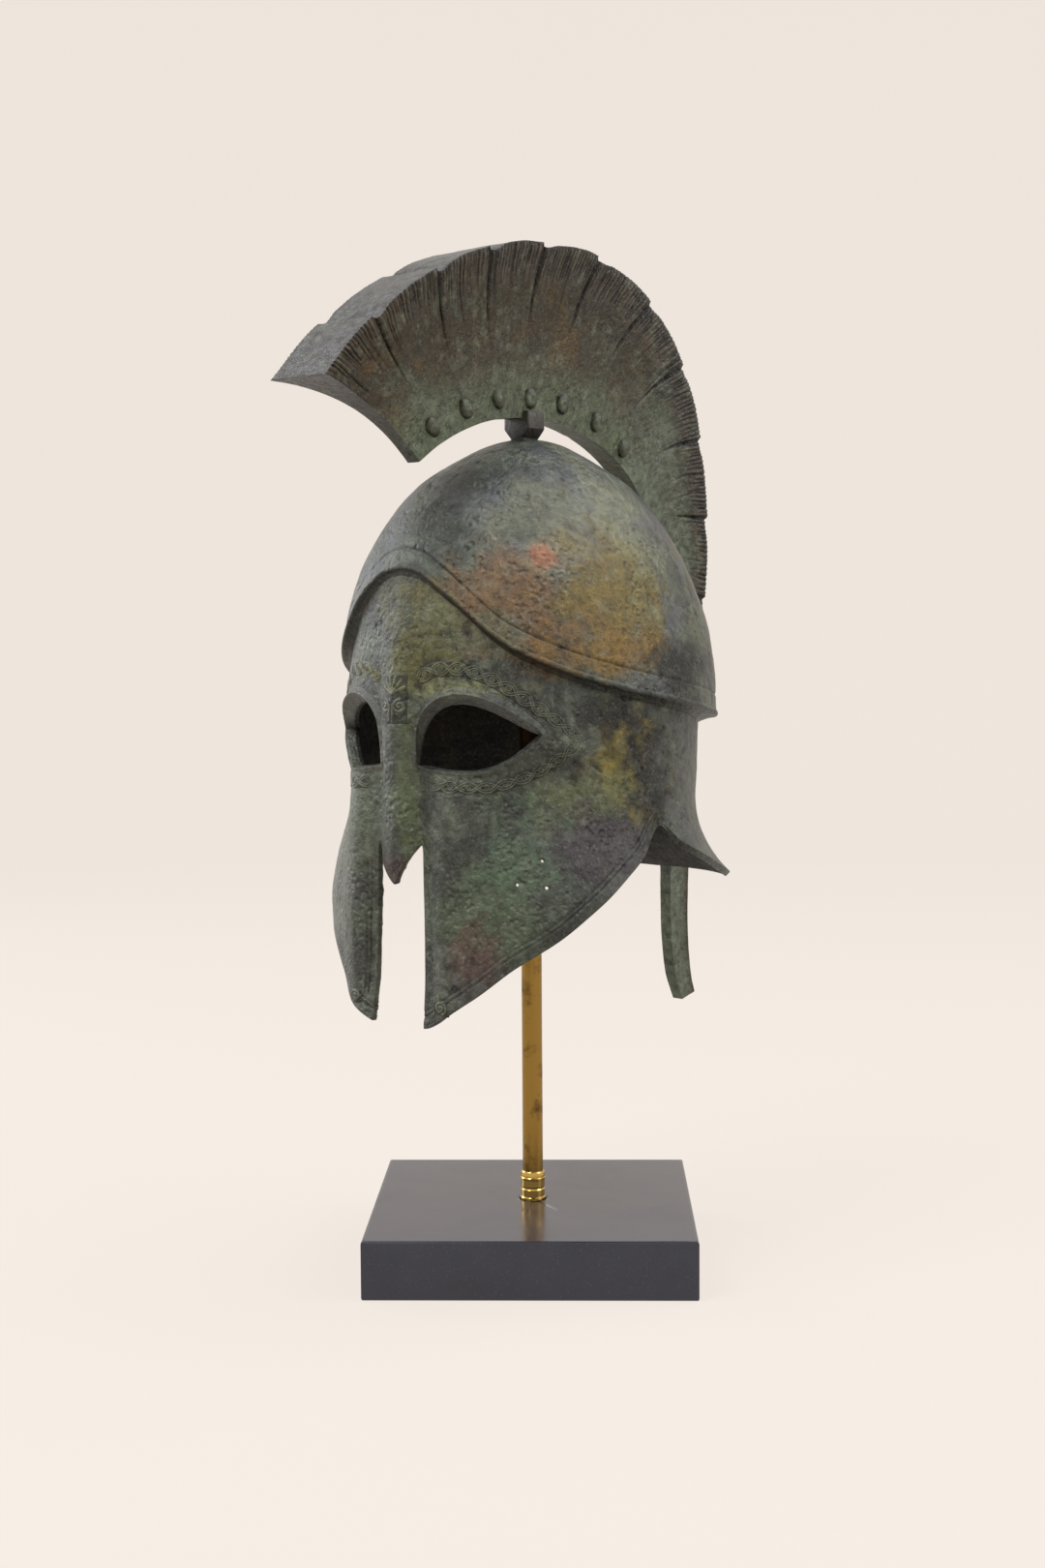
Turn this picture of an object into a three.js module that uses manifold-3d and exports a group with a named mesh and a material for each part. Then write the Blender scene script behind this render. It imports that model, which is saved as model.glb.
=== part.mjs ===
// A Greek bronze helmet with a cast crest, shown on a brass rod in a square stone base.
// Millimetres, +Z up. The origin is at the middle of the base's underside, on the axis of the rod.
// The helmet looks along -Y, and the wearer's left side is +X. The base is turned about the rod.
//
// The helmet is one casting: a skin of even thickness whose outer face is given by two short tables
// of radii, one for the dome and one for the face below it. Bearings are in degrees about the rod,
// from 0 at the nose, through 90 at the ear, to 180 at the nape.
import * as THREE from "three";
import { mergeVertices } from "three/addons/utils/BufferGeometryUtils.js";
import Module from "manifold-3d";

// ---------------------------------------------------------------- driving dimensions
const BASE = { side: 168, height: 30, chamfer: 1.2, turn: 40.5 };
const ROD = { radius: 5.4, top: 427.2, nose: 3, seatDepth: 22 };
const FERRULE = { radius: 6.3, height: 16, lip: 0.5, recessRadius: 7.4, recessDepth: 1.2 };
const GAP = 0.3; // clearance between pieces that touch
const WALL = 3.6; // thickness of the cast skin
const APEX = 431.4; // top of the dome
const LEDGE_DROP = 6.5; // height of the step under the dome's rim
const RIM_ROLL = 0.8; // how far the dome's rim stands out

// Dome: radius at the front, side and back, at each height.
const DOME = [
  { z: 420, front: 41, side: 32, back: 35.5 },
  { z: 406, front: 64, side: 50.5, back: 58 },
  { z: 379, front: 87.5, side: 70, back: 82 },
  { z: 356, front: 98, side: 82, back: 92 },
  { z: 329, front: 103, side: 90, back: 101.5 },
  { z: 304, front: 105, side: 92.5, back: 105.5 },
  { z: 274, front: 105, side: 93, back: 106 },
];

// Face, cheeks and neck: the radius at each bearing, at each height.
const BEARINGS = [0, 9, 18, 30, 45, 60, 75, 90, 130, 180]; // nose, slit, fold, eye ... ear, rear, nape
const FACE = [
  { z: 369, radii: [93, 92.5, 91, 88, 84, 81, 80, 79, 80, 84] },
  { z: 344, radii: [96.5, 96, 95, 92, 88.5, 85.5, 84, 83, 84, 88] },
  { z: 319, radii: [98, 97.5, 97, 95, 92, 89, 87, 85.5, 87, 90.5] },
  { z: 296, radii: [98, 97.5, 98, 97.5, 95, 91, 88.5, 86.8, 88.5, 91] },
  { z: 279, radii: [97, 97.5, 99, 98, 95.5, 91.5, 88.8, 86.6, 88, 89.5] },
  { z: 259, radii: [96.5, 97.3, 101, 96.5, 92.5, 90.5, 88.2, 86.5, 87.4, 87] },
  { z: 242, radii: [97, 98, 103, 97.5, 94, 92, 89.5, 86.5, 86.5, 85] },
  { z: 214, radii: [97.5, 98.2, 104.5, 102, 102, 101, 98, 90, 86.5, 85] },
  { z: 194, radii: [96.5, 98, 105, 103.5, 105, 105.5, 103, 95, 86.5, 85] },
  { z: 164, radii: [97.5, 98.7, 105, 102.5, 103.5, 105, 103, 95, 86.5, 85] },
  { z: 134, radii: [99, 101.7, 105, 99.5, 100, 102, 101, 95, 86.5, 85] },
];

// The nose ridge stands out of the face by this much.
const RIDGE = [
  { z: 204, rise: 4 },
  { z: 219, rise: 4.6 },
  { z: 244, rise: 5.6 },
  { z: 274, rise: 6 },
  { z: 294, rise: 4.6 },
  { z: 319, rise: 1.8 },
  { z: 344, rise: 0 },
];
const RIDGE_HALF_BEARING = 8;

// Height of the dome's rim, which rises to a peak over the nose.
const RIM_LINE = [
  { at: 0, z: 364.5 },
  { at: 6, z: 362.8 },
  { at: 16, z: 353 },
  { at: 37, z: 325 },
  { at: 57, z: 311 },
  { at: 72, z: 304.5 },
  { at: 90, z: 299 },
  { at: 106, z: 295 },
  { at: 138, z: 288 },
  { at: 180, z: 285 },
];

// Lower edge: the cheek's point, its rise to the notch at the ear, and the neck guard's rim.
const LOWER_EDGE = [
  { at: 0, z: 134 },
  { at: 9.7, z: 137.5 },
  { at: 25, z: 153 },
  { at: 36.6, z: 168.5 },
  { at: 49.5, z: 183.3 },
  { at: 60.3, z: 198.7 },
  { at: 70.3, z: 212 },
  { at: 79, z: 221.8 },
  { at: 91, z: 235 },
  { at: 96, z: 226.6 },
  { at: 105, z: 219.5 },
  { at: 118, z: 211 },
  { at: 131, z: 205 },
  { at: 180, z: 202.5 },
];

// The neck guard flares out of the neck by this much at its rim.
const GUARD_FLARE = [
  { at: 91, out: 0 },
  { at: 96, out: 5.5 },
  { at: 105, out: 9.5 },
  { at: 118, out: 14 },
  { at: 131, out: 18.5 },
  { at: 180, out: 24 },
];
const GUARD_TOP = 254; // height where the flare starts
const GUARD_POWER = 2.8;

// Eye openings, drawn on an upright plane whose outward side has this bearing.
const EYE = { bearing: 33, inner: -41.5, outer: 17.5, floor: 267, tip: 281.5, top: 296.5, low: 264.5 };
const EYE_RIM = { widthAbove: 5, widthBelow: 1.6, riseAbove: 2.4, riseBelow: 0.8, depth: 4.5, thickness: 2 };
const EYE_STEPS = 6; // points along each of its four curves
// The slit between the cheeks, with the nose guard's point hanging in it.
const SLIT = { topHalf: 16, tipHalf: 18.3, top: 229, bottom: 124 };
const GUARD_POINT = { z: 207.5, right: -10.8, left: 5.8, bend: 217, notchHalf: 12.8, notch: 227 };
// Three lacing holes in each cheek: bearing and height.
const LACE_HOLES = [
  { at: 38, z: 210 },
  { at: 45, z: 221.5 },
  { at: 46, z: 208.5 },
];
const LACE_RADIUS = 1.3;

// Crest: stations from its front end to the tip of its tail. root and edge are the inner and outer
// lines in the plane of symmetry (y, z), rootHalf and edgeHalf the half widths on them, and sweep
// is how far the hair bends back between them.
const CREST = [
  { rootY: -85, rootZ: 415, edgeY: -161, edgeZ: 450, rootHalf: 4, edgeHalf: 20, sweep: 15 },
  { rootY: -72, rootZ: 423.5, edgeY: -137, edgeZ: 474, rootHalf: 4.2, edgeHalf: 20, sweep: 9 },
  { rootY: -51, rootZ: 433.5, edgeY: -95, edgeZ: 502.5, rootHalf: 4.5, edgeHalf: 20, sweep: 0 },
  { rootY: -30, rootZ: 439.5, edgeY: -58, edgeZ: 519.5, rootHalf: 4.8, edgeHalf: 20, sweep: 0 },
  { rootY: -8, rootZ: 441.7, edgeY: -19, edgeZ: 529, rootHalf: 5, edgeHalf: 20, sweep: -2 },
  { rootY: 14, rootZ: 440.8, edgeY: 22, edgeZ: 530.5, rootHalf: 5.3, edgeHalf: 19.5, sweep: -6 },
  { rootY: 39, rootZ: 435.5, edgeY: 68.5, edgeZ: 517.5, rootHalf: 6, edgeHalf: 18.5, sweep: -12 },
  { rootY: 61, rootZ: 426, edgeY: 102, edgeZ: 491, rootHalf: 6.5, edgeHalf: 17.5, sweep: -16 },
  { rootY: 79, rootZ: 412, edgeY: 124, edgeZ: 456, rootHalf: 6.5, edgeHalf: 16, sweep: -16 },
  { rootY: 92, rootZ: 393, edgeY: 135, edgeZ: 415, rootHalf: 6.3, edgeHalf: 14.5, sweep: -12 },
  { rootY: 103, rootZ: 366, edgeY: 140, edgeZ: 371, rootHalf: 5.8, edgeHalf: 12, sweep: -7 },
  { rootY: 110, rootZ: 332, edgeY: 140, edgeZ: 328, rootHalf: 5.2, edgeHalf: 9, sweep: -3 },
  { rootY: 112.5, rootZ: 289, edgeY: 136, edgeZ: 284, rootHalf: 4.6, edgeHalf: 6.5, sweep: 0 },
  { rootY: 114, rootZ: 244, edgeY: 134, edgeZ: 241, rootHalf: 4, edgeHalf: 5, sweep: 0 },
  { rootY: 114.5, rootZ: 202, edgeY: 132, edgeZ: 200, rootHalf: 3.7, edgeHalf: 4, sweep: 0 },
  { rootY: 115, rootZ: 169, edgeY: 131.5, edgeZ: 167, rootHalf: 3.7, edgeHalf: 3.7, sweep: 0 },
  { rootY: 118.5, rootZ: 140, edgeY: 134, edgeZ: 136, rootHalf: 3.7, edgeHalf: 3.7, sweep: 0 },
  { rootY: 126, rootZ: 121, edgeY: 138, edgeZ: 124, rootHalf: 3.3, edgeHalf: 3.3, sweep: 0 },
];
const CREST_FLARE_POWER = 2.9; // how late the cross-section widens towards the hair tips
// Locks of hair: where along the stations each begins, and how far it is cut back there.
const LOCKS = { first: 1.2, spacing: 1.03, count: 10, notch: 2.4 };
const BOSSES = { count: 7, first: 1.15, spacing: 1.03, inset: 0.12, radius: 3.2, length: 5, rise: 2 };
const POST = { halfX: 8.6, halfY: 6.5, y: -3, top: 440.5, chamfer: 4.2, forkRise: 5 };

// Mesh fineness.
const COLUMNS = 64;
const DOME_ROWS = 8;
const FACE_ROWS = 12;
const CREST_SHARES = [0, 0.3, 0.55, 0.75, 0.9, 1];
const ROUND_SIDES = 32;

// ---------------------------------------------------------------- finishes
const bronze = new THREE.MeshStandardMaterial({ color: 0x4d5140, roughness: 0.62, metalness: 0.6 });
const darkBronze = new THREE.MeshStandardMaterial({ color: 0x2b2826, roughness: 0.6, metalness: 0.6 });
const brass = new THREE.MeshStandardMaterial({ color: 0x9a7b3f, roughness: 0.3, metalness: 1 });
const blackMarble = new THREE.MeshStandardMaterial({ color: 0x3a3c44, roughness: 0.3, metalness: 0 });

// ---------------------------------------------------------------- curves through tables
// A smooth curve through points (x ascending) that never overshoots between them.
function smoothCurve(points) {
  const n = points.length;
  const step = points.slice(1).map((p, i) => p[0] - points[i][0]);
  const slope = points.slice(1).map((p, i) => (p[1] - points[i][1]) / step[i]);
  const tangent = points.map((_, i) => {
    if (i === 0) return slope[0];
    if (i === n - 1) return slope[n - 2];
    if (slope[i - 1] * slope[i] <= 0) return 0;
    const before = 2 * step[i] + step[i - 1];
    const after = step[i] + 2 * step[i - 1];
    return (before + after) / (before / slope[i - 1] + after / slope[i]);
  });
  return (x) => {
    if (x <= points[0][0]) return points[0][1];
    if (x >= points[n - 1][0]) return points[n - 1][1];
    let i = 0;
    while (x > points[i + 1][0]) i++;
    const t = (x - points[i][0]) / step[i];
    const rise = (2 * t - 3) * t * t;
    return (
      (rise + 1) * points[i][1] -
      rise * points[i + 1][1] +
      step[i] * (t * (t - 1) * (t - 1) * tangent[i] + t * t * (t - 1) * tangent[i + 1])
    );
  };
}

// One smooth curve for each named column of a table.
function columnCurves(rows, key, names) {
  const sorted = [...rows].sort((a, b) => a[key] - b[key]);
  const curve = (name) => smoothCurve(sorted.map((row) => [row[key], row[name]]));
  return Object.fromEntries(names.map((name) => [name, curve(name)]));
}

const radians = THREE.MathUtils.degToRad;
const bearingOf = (x, y) => Math.abs(THREE.MathUtils.radToDeg(Math.atan2(x, -y)));

// ---------------------------------------------------------------- the helmet's outer form
const domeRows = DOME.map((row) => ({ ...row, depth: Math.sqrt(APEX - row.z) }));
domeRows.unshift({ depth: 0, front: 0, side: 0, back: 0 });
const domeCurve = columnCurves(domeRows, "depth", ["front", "side", "back"]);
const faceColumns = BEARINGS.map((_, k) => smoothCurve(FACE.map((row) => [row.z, row.radii[k]]).reverse()));
const ridgeRise = columnCurves(RIDGE, "z", ["rise"]).rise;
const rimLine = columnCurves(RIM_LINE, "at", ["z"]).z;
const lowerEdge = columnCurves(LOWER_EDGE, "at", ["z"]).z;
const guardFlare = columnCurves(GUARD_FLARE, "at", ["out"]).out;

// Each horizontal section of the dome is an ellipse, longer in front or behind.
function domeRadius(bearing, z) {
  const depth = Math.sqrt(Math.max(0, APEX - z));
  const along = bearing < 90 ? domeCurve.front(depth) : domeCurve.back(depth);
  const across = domeCurve.side(depth);
  if (across === 0) return 0;
  return 1 / Math.hypot(Math.cos(radians(bearing)) / along, Math.sin(radians(bearing)) / across);
}

function faceRadius(bearing, z) {
  const section = smoothCurve(BEARINGS.map((at, k) => [at, faceColumns[k](z)]));
  const nearRidge = Math.max(0, 1 - (bearing / RIDGE_HALF_BEARING) ** 2);
  const low = lowerEdge(bearing);
  const down = THREE.MathUtils.clamp((GUARD_TOP - z) / (GUARD_TOP - low), 0, 1);
  const flare = bearing > GUARD_FLARE[0].at ? guardFlare(bearing) * down ** GUARD_POWER : 0;
  return section(bearing) + ridgeRise(z) * nearRidge ** 1.5 + flare;
}

// The inner face follows the face upwards and only then swells into the dome.
function innerRadius(bearing, z) {
  const dome = domeRadius(bearing, z);
  if (z > FACE[0].z) return dome;
  const share = THREE.MathUtils.smoothstep((z - rimLine(bearing)) / 16, 0, 1);
  return THREE.MathUtils.lerp(Math.min(faceRadius(bearing, z), dome), dome, share);
}

const place = (r, angle, z) => new THREE.Vector3(r * Math.sin(angle), -r * Math.cos(angle), z);

// Rows of the skin from the crown down, as heights at one bearing.
function rowHeights(bearing) {
  const rim = rimLine(bearing);
  const low = lowerEdge(bearing);
  const dome = [];
  for (let i = 1; i <= DOME_ROWS; i++) {
    dome.push(rim + (APEX - rim) * Math.cos((i / DOME_ROWS) * (Math.PI / 2)));
  }
  const face = [];
  for (let i = 0; i <= FACE_ROWS; i++) {
    face.push(THREE.MathUtils.lerp(rim - LEDGE_DROP, low, i / FACE_ROWS));
  }
  return { dome, face };
}

function outerPoint(angle, row) {
  const bearing = bearingOf(Math.sin(angle), -Math.cos(angle));
  const { dome, face } = rowHeights(bearing);
  if (row < DOME_ROWS) {
    const roll = row === DOME_ROWS - 1 ? RIM_ROLL : 0;
    return place(domeRadius(bearing, dome[row]) + roll, angle, dome[row]);
  }
  const z = face[row - DOME_ROWS];
  return place(faceRadius(bearing, z), angle, z);
}

// The inner face is the inner form moved in by the wall's thickness, square to its own surface.
function innerPoint(angle, row) {
  const bearing = bearingOf(Math.sin(angle), -Math.cos(angle));
  const { dome, face } = rowHeights(bearing);
  const z = row < DOME_ROWS ? dome[row] : face[row - DOME_ROWS];
  const at = (a, h) => place(innerRadius(bearingOf(Math.sin(a), -Math.cos(a)), h), a, h);
  const da = 0.02;
  const dz = 0.6;
  const along = at(angle + da, z).sub(at(angle - da, z));
  const up = at(angle, Math.min(z + dz, APEX - 0.2)).sub(at(angle, z - dz));
  const out = along.cross(up).normalize();
  const point = at(angle, z).addScaledVector(out, -WALL);
  if (row === DOME_ROWS + FACE_ROWS) point.z = z; // the rim is cut level
  return point;
}

// ---------------------------------------------------------------- solids from meshes
const wasm = await Module();
wasm.setup();

function toSolid(geometry) {
  const bare = geometry.clone();
  bare.deleteAttribute("normal");
  bare.deleteAttribute("uv");
  const merged = mergeVertices(bare, 1e-4);
  return new wasm.Manifold(
    new wasm.Mesh({
      numProp: 3,
      vertProperties: new Float32Array(merged.attributes.position.array),
      triVerts: new Uint32Array(merged.index.array),
    }),
  );
}

function toGeometry(solid) {
  const mesh = solid.getMesh();
  const geometry = new THREE.BufferGeometry();
  geometry.setAttribute("position", new THREE.BufferAttribute(mesh.vertProperties.slice(), 3));
  geometry.setIndex(new THREE.BufferAttribute(mesh.triVerts.slice(), 1));
  geometry.computeVertexNormals();
  return geometry;
}

function fromPoints(points, faces) {
  const geometry = new THREE.BufferGeometry().setFromPoints(points);
  geometry.setIndex(faces.flat());
  return geometry;
}

// ---------------------------------------------------------------- helmet shell
function skin() {
  const rows = DOME_ROWS + FACE_ROWS + 1;
  const points = [];
  const faces = [];
  const layer = (pointAt, crown) => {
    const start = points.length;
    points.push(new THREE.Vector3(0, 0, crown));
    for (let row = 0; row < rows; row++) {
      for (let column = 0; column < COLUMNS; column++) {
        points.push(pointAt((column / COLUMNS) * 2 * Math.PI, row));
      }
    }
    return start;
  };
  const outer = layer(outerPoint, APEX);
  const inner = layer(innerPoint, APEX - WALL);
  const index = (start, row, column) => start + 1 + row * COLUMNS + (column % COLUMNS);
  for (let c = 0; c < COLUMNS; c++) {
    faces.push([outer, index(outer, 0, c), index(outer, 0, c + 1)]);
    faces.push([inner, index(inner, 0, c + 1), index(inner, 0, c)]);
    for (let r = 0; r < rows - 1; r++) {
      const [a, b] = [index(outer, r, c), index(outer, r, c + 1)];
      const [d, e] = [index(outer, r + 1, c), index(outer, r + 1, c + 1)];
      faces.push([a, d, e], [a, e, b]);
      const [p, q] = [index(inner, r, c), index(inner, r, c + 1)];
      const [s, t] = [index(inner, r + 1, c), index(inner, r + 1, c + 1)];
      faces.push([p, t, s], [p, q, t]);
    }
    const [a, b] = [index(outer, rows - 1, c), index(outer, rows - 1, c + 1)];
    const [p, q] = [index(inner, rows - 1, c), index(inner, rows - 1, c + 1)];
    faces.push([a, p, q], [a, q, b]);
  }
  return toSolid(fromPoints(points, faces));
}

// A shape drawn with z up, extruded outwards from the rod along a bearing.
function cutter(shape, bearing, reach, side) {
  const options = { depth: reach, bevelEnabled: false, curveSegments: 10 };
  const geometry = new THREE.ExtrudeGeometry(shape, options);
  geometry.rotateX(Math.PI / 2); // drawn height becomes +Z, and the extrusion runs along -Y
  geometry.rotateZ(radians(bearing) * side);
  return toSolid(geometry);
}

// The eye opening of the wearer's left side, as drawn on its upright plane.
function eyeOutline() {
  const eye = new THREE.Shape();
  const { inner, outer, floor, tip, top, low } = EYE;
  const width = outer - inner;
  eye.moveTo(inner, floor);
  eye.bezierCurveTo(inner, floor + 20, inner + 0.16 * width, top, inner + 0.36 * width, top);
  eye.bezierCurveTo(inner + 0.6 * width, top, outer - 9, tip + 4, outer, tip);
  eye.bezierCurveTo(outer - 9, tip - 9, inner + 0.66 * width, low, inner + 0.44 * width, low);
  eye.bezierCurveTo(inner + 0.25 * width, low, inner + 6, floor - 0.6, inner, floor);
  return eye.getPoints(EYE_STEPS).slice(0, -1);
}

// How broad and how high the lid is beside a point of the outline, and which way it lies.
function lidAt(outline, i) {
  const before = outline[(i + outline.length - 1) % outline.length];
  const after = outline[(i + 1) % outline.length];
  const away = new THREE.Vector2(before.y - after.y, after.x - before.x).normalize();
  const share = THREE.MathUtils.smoothstep(outline[i].y, EYE.low + 6, EYE.top - 4);
  const width = THREE.MathUtils.lerp(EYE_RIM.widthBelow, EYE_RIM.widthAbove, share);
  const rise = THREE.MathUtils.lerp(EYE_RIM.riseBelow, EYE_RIM.riseAbove, share);
  return { away, width, rise };
}

// From a point of the eye's plane to the face, or to a height above the face.
function ontoFace(point, height) {
  const along = new THREE.Vector2(Math.cos(radians(EYE.bearing)), Math.sin(radians(EYE.bearing)));
  const out = new THREE.Vector2(along.y, -along.x);
  let reach = 90;
  for (let i = 0; i < 8; i++) {
    const spot = along.clone().multiplyScalar(point.x).addScaledVector(out, reach);
    reach = Math.sqrt(faceRadius(bearingOf(spot.x, spot.y), point.y) ** 2 - point.x ** 2);
  }
  const spot = along.clone().multiplyScalar(point.x).addScaledVector(out, reach + height);
  return new THREE.Vector3(spot.x, spot.y, point.y);
}

// The skin is cut back to the outer line of the lid.
function eyeCutter() {
  const outline = eyeOutline();
  const outer = outline.map((point, i) => {
    const { away, width } = lidAt(outline, i);
    return point.clone().addScaledVector(away, width - 0.3);
  });
  return cutter(new THREE.Shape(outer), EYE.bearing, 130, 1);
}

// The raised lid round an eye: a bevel that climbs outwards from the opening, broad along the brow.
function eyeRim() {
  const outline = eyeOutline();
  const count = outline.length;
  const points = [];
  const faces = [];
  outline.forEach((point, i) => {
    const { away, width, rise } = lidAt(outline, i);
    const section = [
      [0, -EYE_RIM.depth - EYE_RIM.thickness],
      [0, -EYE_RIM.depth],
      [width, rise],
      [width + rise + 0.6, -0.4],
      [width + rise, -2.4],
    ];
    for (const [offset, height] of section) {
      points.push(ontoFace(point.clone().addScaledVector(away, offset), height));
    }
  });
  for (let i = 0; i < count; i++) {
    for (let k = 0; k < 5; k++) {
      const [a, b] = [i * 5 + k, i * 5 + ((k + 1) % 5)];
      const [d, e] = [((i + 1) % count) * 5 + k, ((i + 1) % count) * 5 + ((k + 1) % 5)];
      faces.push([a, e, b], [a, d, e]);
    }
  }
  return toSolid(fromPoints(points, faces));
}

function slitCutter() {
  const { topHalf, tipHalf, top, bottom } = SLIT;
  const { z, right, left, bend, notchHalf, notch } = GUARD_POINT;
  const slit = new THREE.Shape();
  slit.moveTo(-tipHalf, bottom);
  slit.lineTo(tipHalf, bottom);
  slit.lineTo(tipHalf, LOWER_EDGE[1].z);
  slit.quadraticCurveTo(topHalf + 0.6, 174, topHalf, top - 4);
  slit.quadraticCurveTo(topHalf - 0.8, top, notchHalf, notch);
  slit.lineTo(left, bend);
  slit.lineTo(0, z);
  slit.lineTo(right, bend);
  slit.lineTo(-notchHalf, notch);
  slit.quadraticCurveTo(-topHalf + 0.8, top, -topHalf, top - 4);
  slit.quadraticCurveTo(-topHalf - 0.6, 174, -tipHalf, LOWER_EDGE[1].z);
  return cutter(slit, 0, 130, 1);
}

function laceCutter(hole, side) {
  const drill = new THREE.CylinderGeometry(LACE_RADIUS, LACE_RADIUS, 60, 8);
  drill.translate(0, -95, 0);
  drill.rotateZ(radians(hole.at) * side);
  drill.translate(0, 0, hole.z);
  return toSolid(drill);
}

// One casting: the skin, cut by the slit and the eyes, with the lids and the lacing holes.
function helmetShell() {
  const rim = eyeRim();
  const opening = eyeCutter();
  let shell = skin().subtract(slitCutter());
  for (const side of [1, -1]) {
    shell = shell.subtract(side > 0 ? opening : opening.mirror([1, 0, 0]));
    shell = shell.add(side > 0 ? rim : rim.mirror([1, 0, 0]));
    for (const hole of LACE_HOLES) shell = shell.subtract(laceCutter(hole, side));
  }
  return toGeometry(shell);
}

// ---------------------------------------------------------------- crest
const crestStations = CREST.map((row, i) => ({ ...row, i }));
const crestCurve = columnCurves(crestStations, "i", Object.keys(CREST[0]));

// A point on the crest: s runs along it in stations, share from its root to its outer edge.
function crestPoint(s, share, side, trim) {
  const c = Object.fromEntries(Object.entries(crestCurve).map(([name, curve]) => [name, curve(s)]));
  const root = new THREE.Vector2(c.rootY, c.rootZ);
  const edge = new THREE.Vector2(c.edgeY, c.edgeZ);
  const out = edge.clone().sub(root);
  const length = out.length();
  out.normalize();
  const back = new THREE.Vector2(out.y, -out.x); // along the crest, towards its tail
  const p = root
    .clone()
    .addScaledVector(out, share * (length - trim))
    .addScaledVector(back, c.sweep * 2 * share * (1 - share));
  const half = c.rootHalf + (c.edgeHalf - c.rootHalf) * share ** CREST_FLARE_POWER;
  return new THREE.Vector3(half * side, p.x, p.y);
}

// Stations with the trim that cuts each lock's start back from the lock before it.
function crestSections() {
  const sections = [];
  const { first, spacing, count, notch } = LOCKS;
  for (let lock = 0; lock < count; lock++) {
    const from = lock ? first + (lock - 1) * spacing : 0;
    const width = lock ? spacing : first;
    sections.push({ s: from + 0.02 * width, trim: lock ? notch : 0 });
    sections.push({ s: from + 0.25 * width, trim: lock ? 0.25 * notch : 0 });
    sections.push({ s: from + 0.62 * width, trim: 0 });
    sections.push({ s: from + 0.97 * width, trim: 0 });
  }
  const last = first + (count - 1) * spacing;
  const end = CREST.length - 1;
  for (let s = Math.ceil(last * 2) / 2; s <= end; s += 0.5) sections.push({ s, trim: 0 });
  return sections;
}

function crest() {
  const points = [];
  const faces = [];
  const ring = 2 * CREST_SHARES.length;
  const sections = crestSections();
  for (const { s, trim } of sections) {
    for (const share of CREST_SHARES) points.push(crestPoint(s, share, 1, trim));
    for (const share of [...CREST_SHARES].reverse()) points.push(crestPoint(s, share, -1, trim));
  }
  for (let i = 0; i < sections.length - 1; i++) {
    for (let k = 0; k < ring; k++) {
      const [a, b] = [i * ring + k, i * ring + ((k + 1) % ring)];
      faces.push([a, b + ring, b], [a, a + ring, b + ring]);
    }
  }
  const half = CREST_SHARES.length;
  for (const [start, flip] of [
    [0, false],
    [(sections.length - 1) * ring, true],
  ]) {
    for (let k = 0; k < half - 1; k++) {
      const quad = [start + k, start + k + 1, start + ring - 2 - k, start + ring - 1 - k];
      const [a, b, c, d] = flip ? quad.reverse() : quad;
      faces.push([a, b, c], [a, c, d]);
    }
  }
  let solid = toSolid(fromPoints(points, faces));
  for (let i = 0; i < BOSSES.count; i++) {
    for (const side of [1, -1]) solid = solid.add(crestBoss(BOSSES.first + i * BOSSES.spacing, side));
  }
  return toGeometry(solid);
}

// An oval boss, cast on the side of the crest above its root.
function crestBoss(s, side) {
  const boss = new THREE.SphereGeometry(1, 8, 5);
  boss.scale(BOSSES.rise * 1.6, BOSSES.radius, BOSSES.length);
  const centre = crestPoint(s, BOSSES.inset, side, 0);
  const outer = crestPoint(s, BOSSES.inset + 0.1, side, 0);
  boss.rotateX(Math.atan2(-(outer.y - centre.y), outer.z - centre.z));
  boss.translate(centre.x - side * BOSSES.rise * 0.6, centre.y, centre.z);
  return toSolid(boss);
}

// ---------------------------------------------------------------- crest post
// A forked block: it stands on the crown, and its two cheeks hold the root of the crest.
function crestPost(crestSolid, shellSolid) {
  const { halfX, halfY, y, top, chamfer, forkRise } = POST;
  const bottom = APEX - 3;
  const face = new THREE.Shape();
  face.moveTo(-halfX + chamfer, bottom);
  face.lineTo(halfX - chamfer, bottom);
  face.lineTo(halfX - chamfer, APEX + 0.5);
  face.lineTo(halfX, APEX + 0.5 + chamfer);
  face.lineTo(halfX, top + forkRise);
  face.lineTo(-halfX, top + forkRise);
  face.lineTo(-halfX, APEX + 0.5 + chamfer);
  face.lineTo(-halfX + chamfer, APEX + 0.5);
  const block = new THREE.ExtrudeGeometry(face, { depth: 2 * halfY, bevelEnabled: false });
  block.rotateX(Math.PI / 2);
  block.translate(0, y + halfY, 0);
  return toGeometry(clear(clear(toSolid(block), crestSolid), shellSolid));
}

// Cuts a solid back from a neighbour, leaving the gap all round.
function clear(solid, neighbour) {
  const steps = [
    [GAP, 0, 0],
    [-GAP, 0, 0],
    [0, GAP, 0],
    [0, -GAP, 0],
    [0, 0, GAP],
    [0, 0, -GAP],
  ];
  return steps.reduce((left, step) => left.subtract(neighbour.translate(step)), solid.subtract(neighbour));
}

// ---------------------------------------------------------------- stand
const lathe = (profile) => {
  const geometry = new THREE.LatheGeometry(
    profile.map(([r, z]) => new THREE.Vector2(r, z)),
    ROUND_SIDES,
  );
  return geometry.rotateX(Math.PI / 2);
};

function rod() {
  const foot = BASE.height - ROD.seatDepth + GAP;
  return lathe([
    [0, foot],
    [ROD.radius, foot],
    [ROD.radius, ROD.top - ROD.nose],
    [ROD.radius - ROD.nose * 0.35, ROD.top - ROD.nose * 0.3],
    [ROD.radius - ROD.nose, ROD.top],
    [0, ROD.top],
  ]);
}

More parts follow.
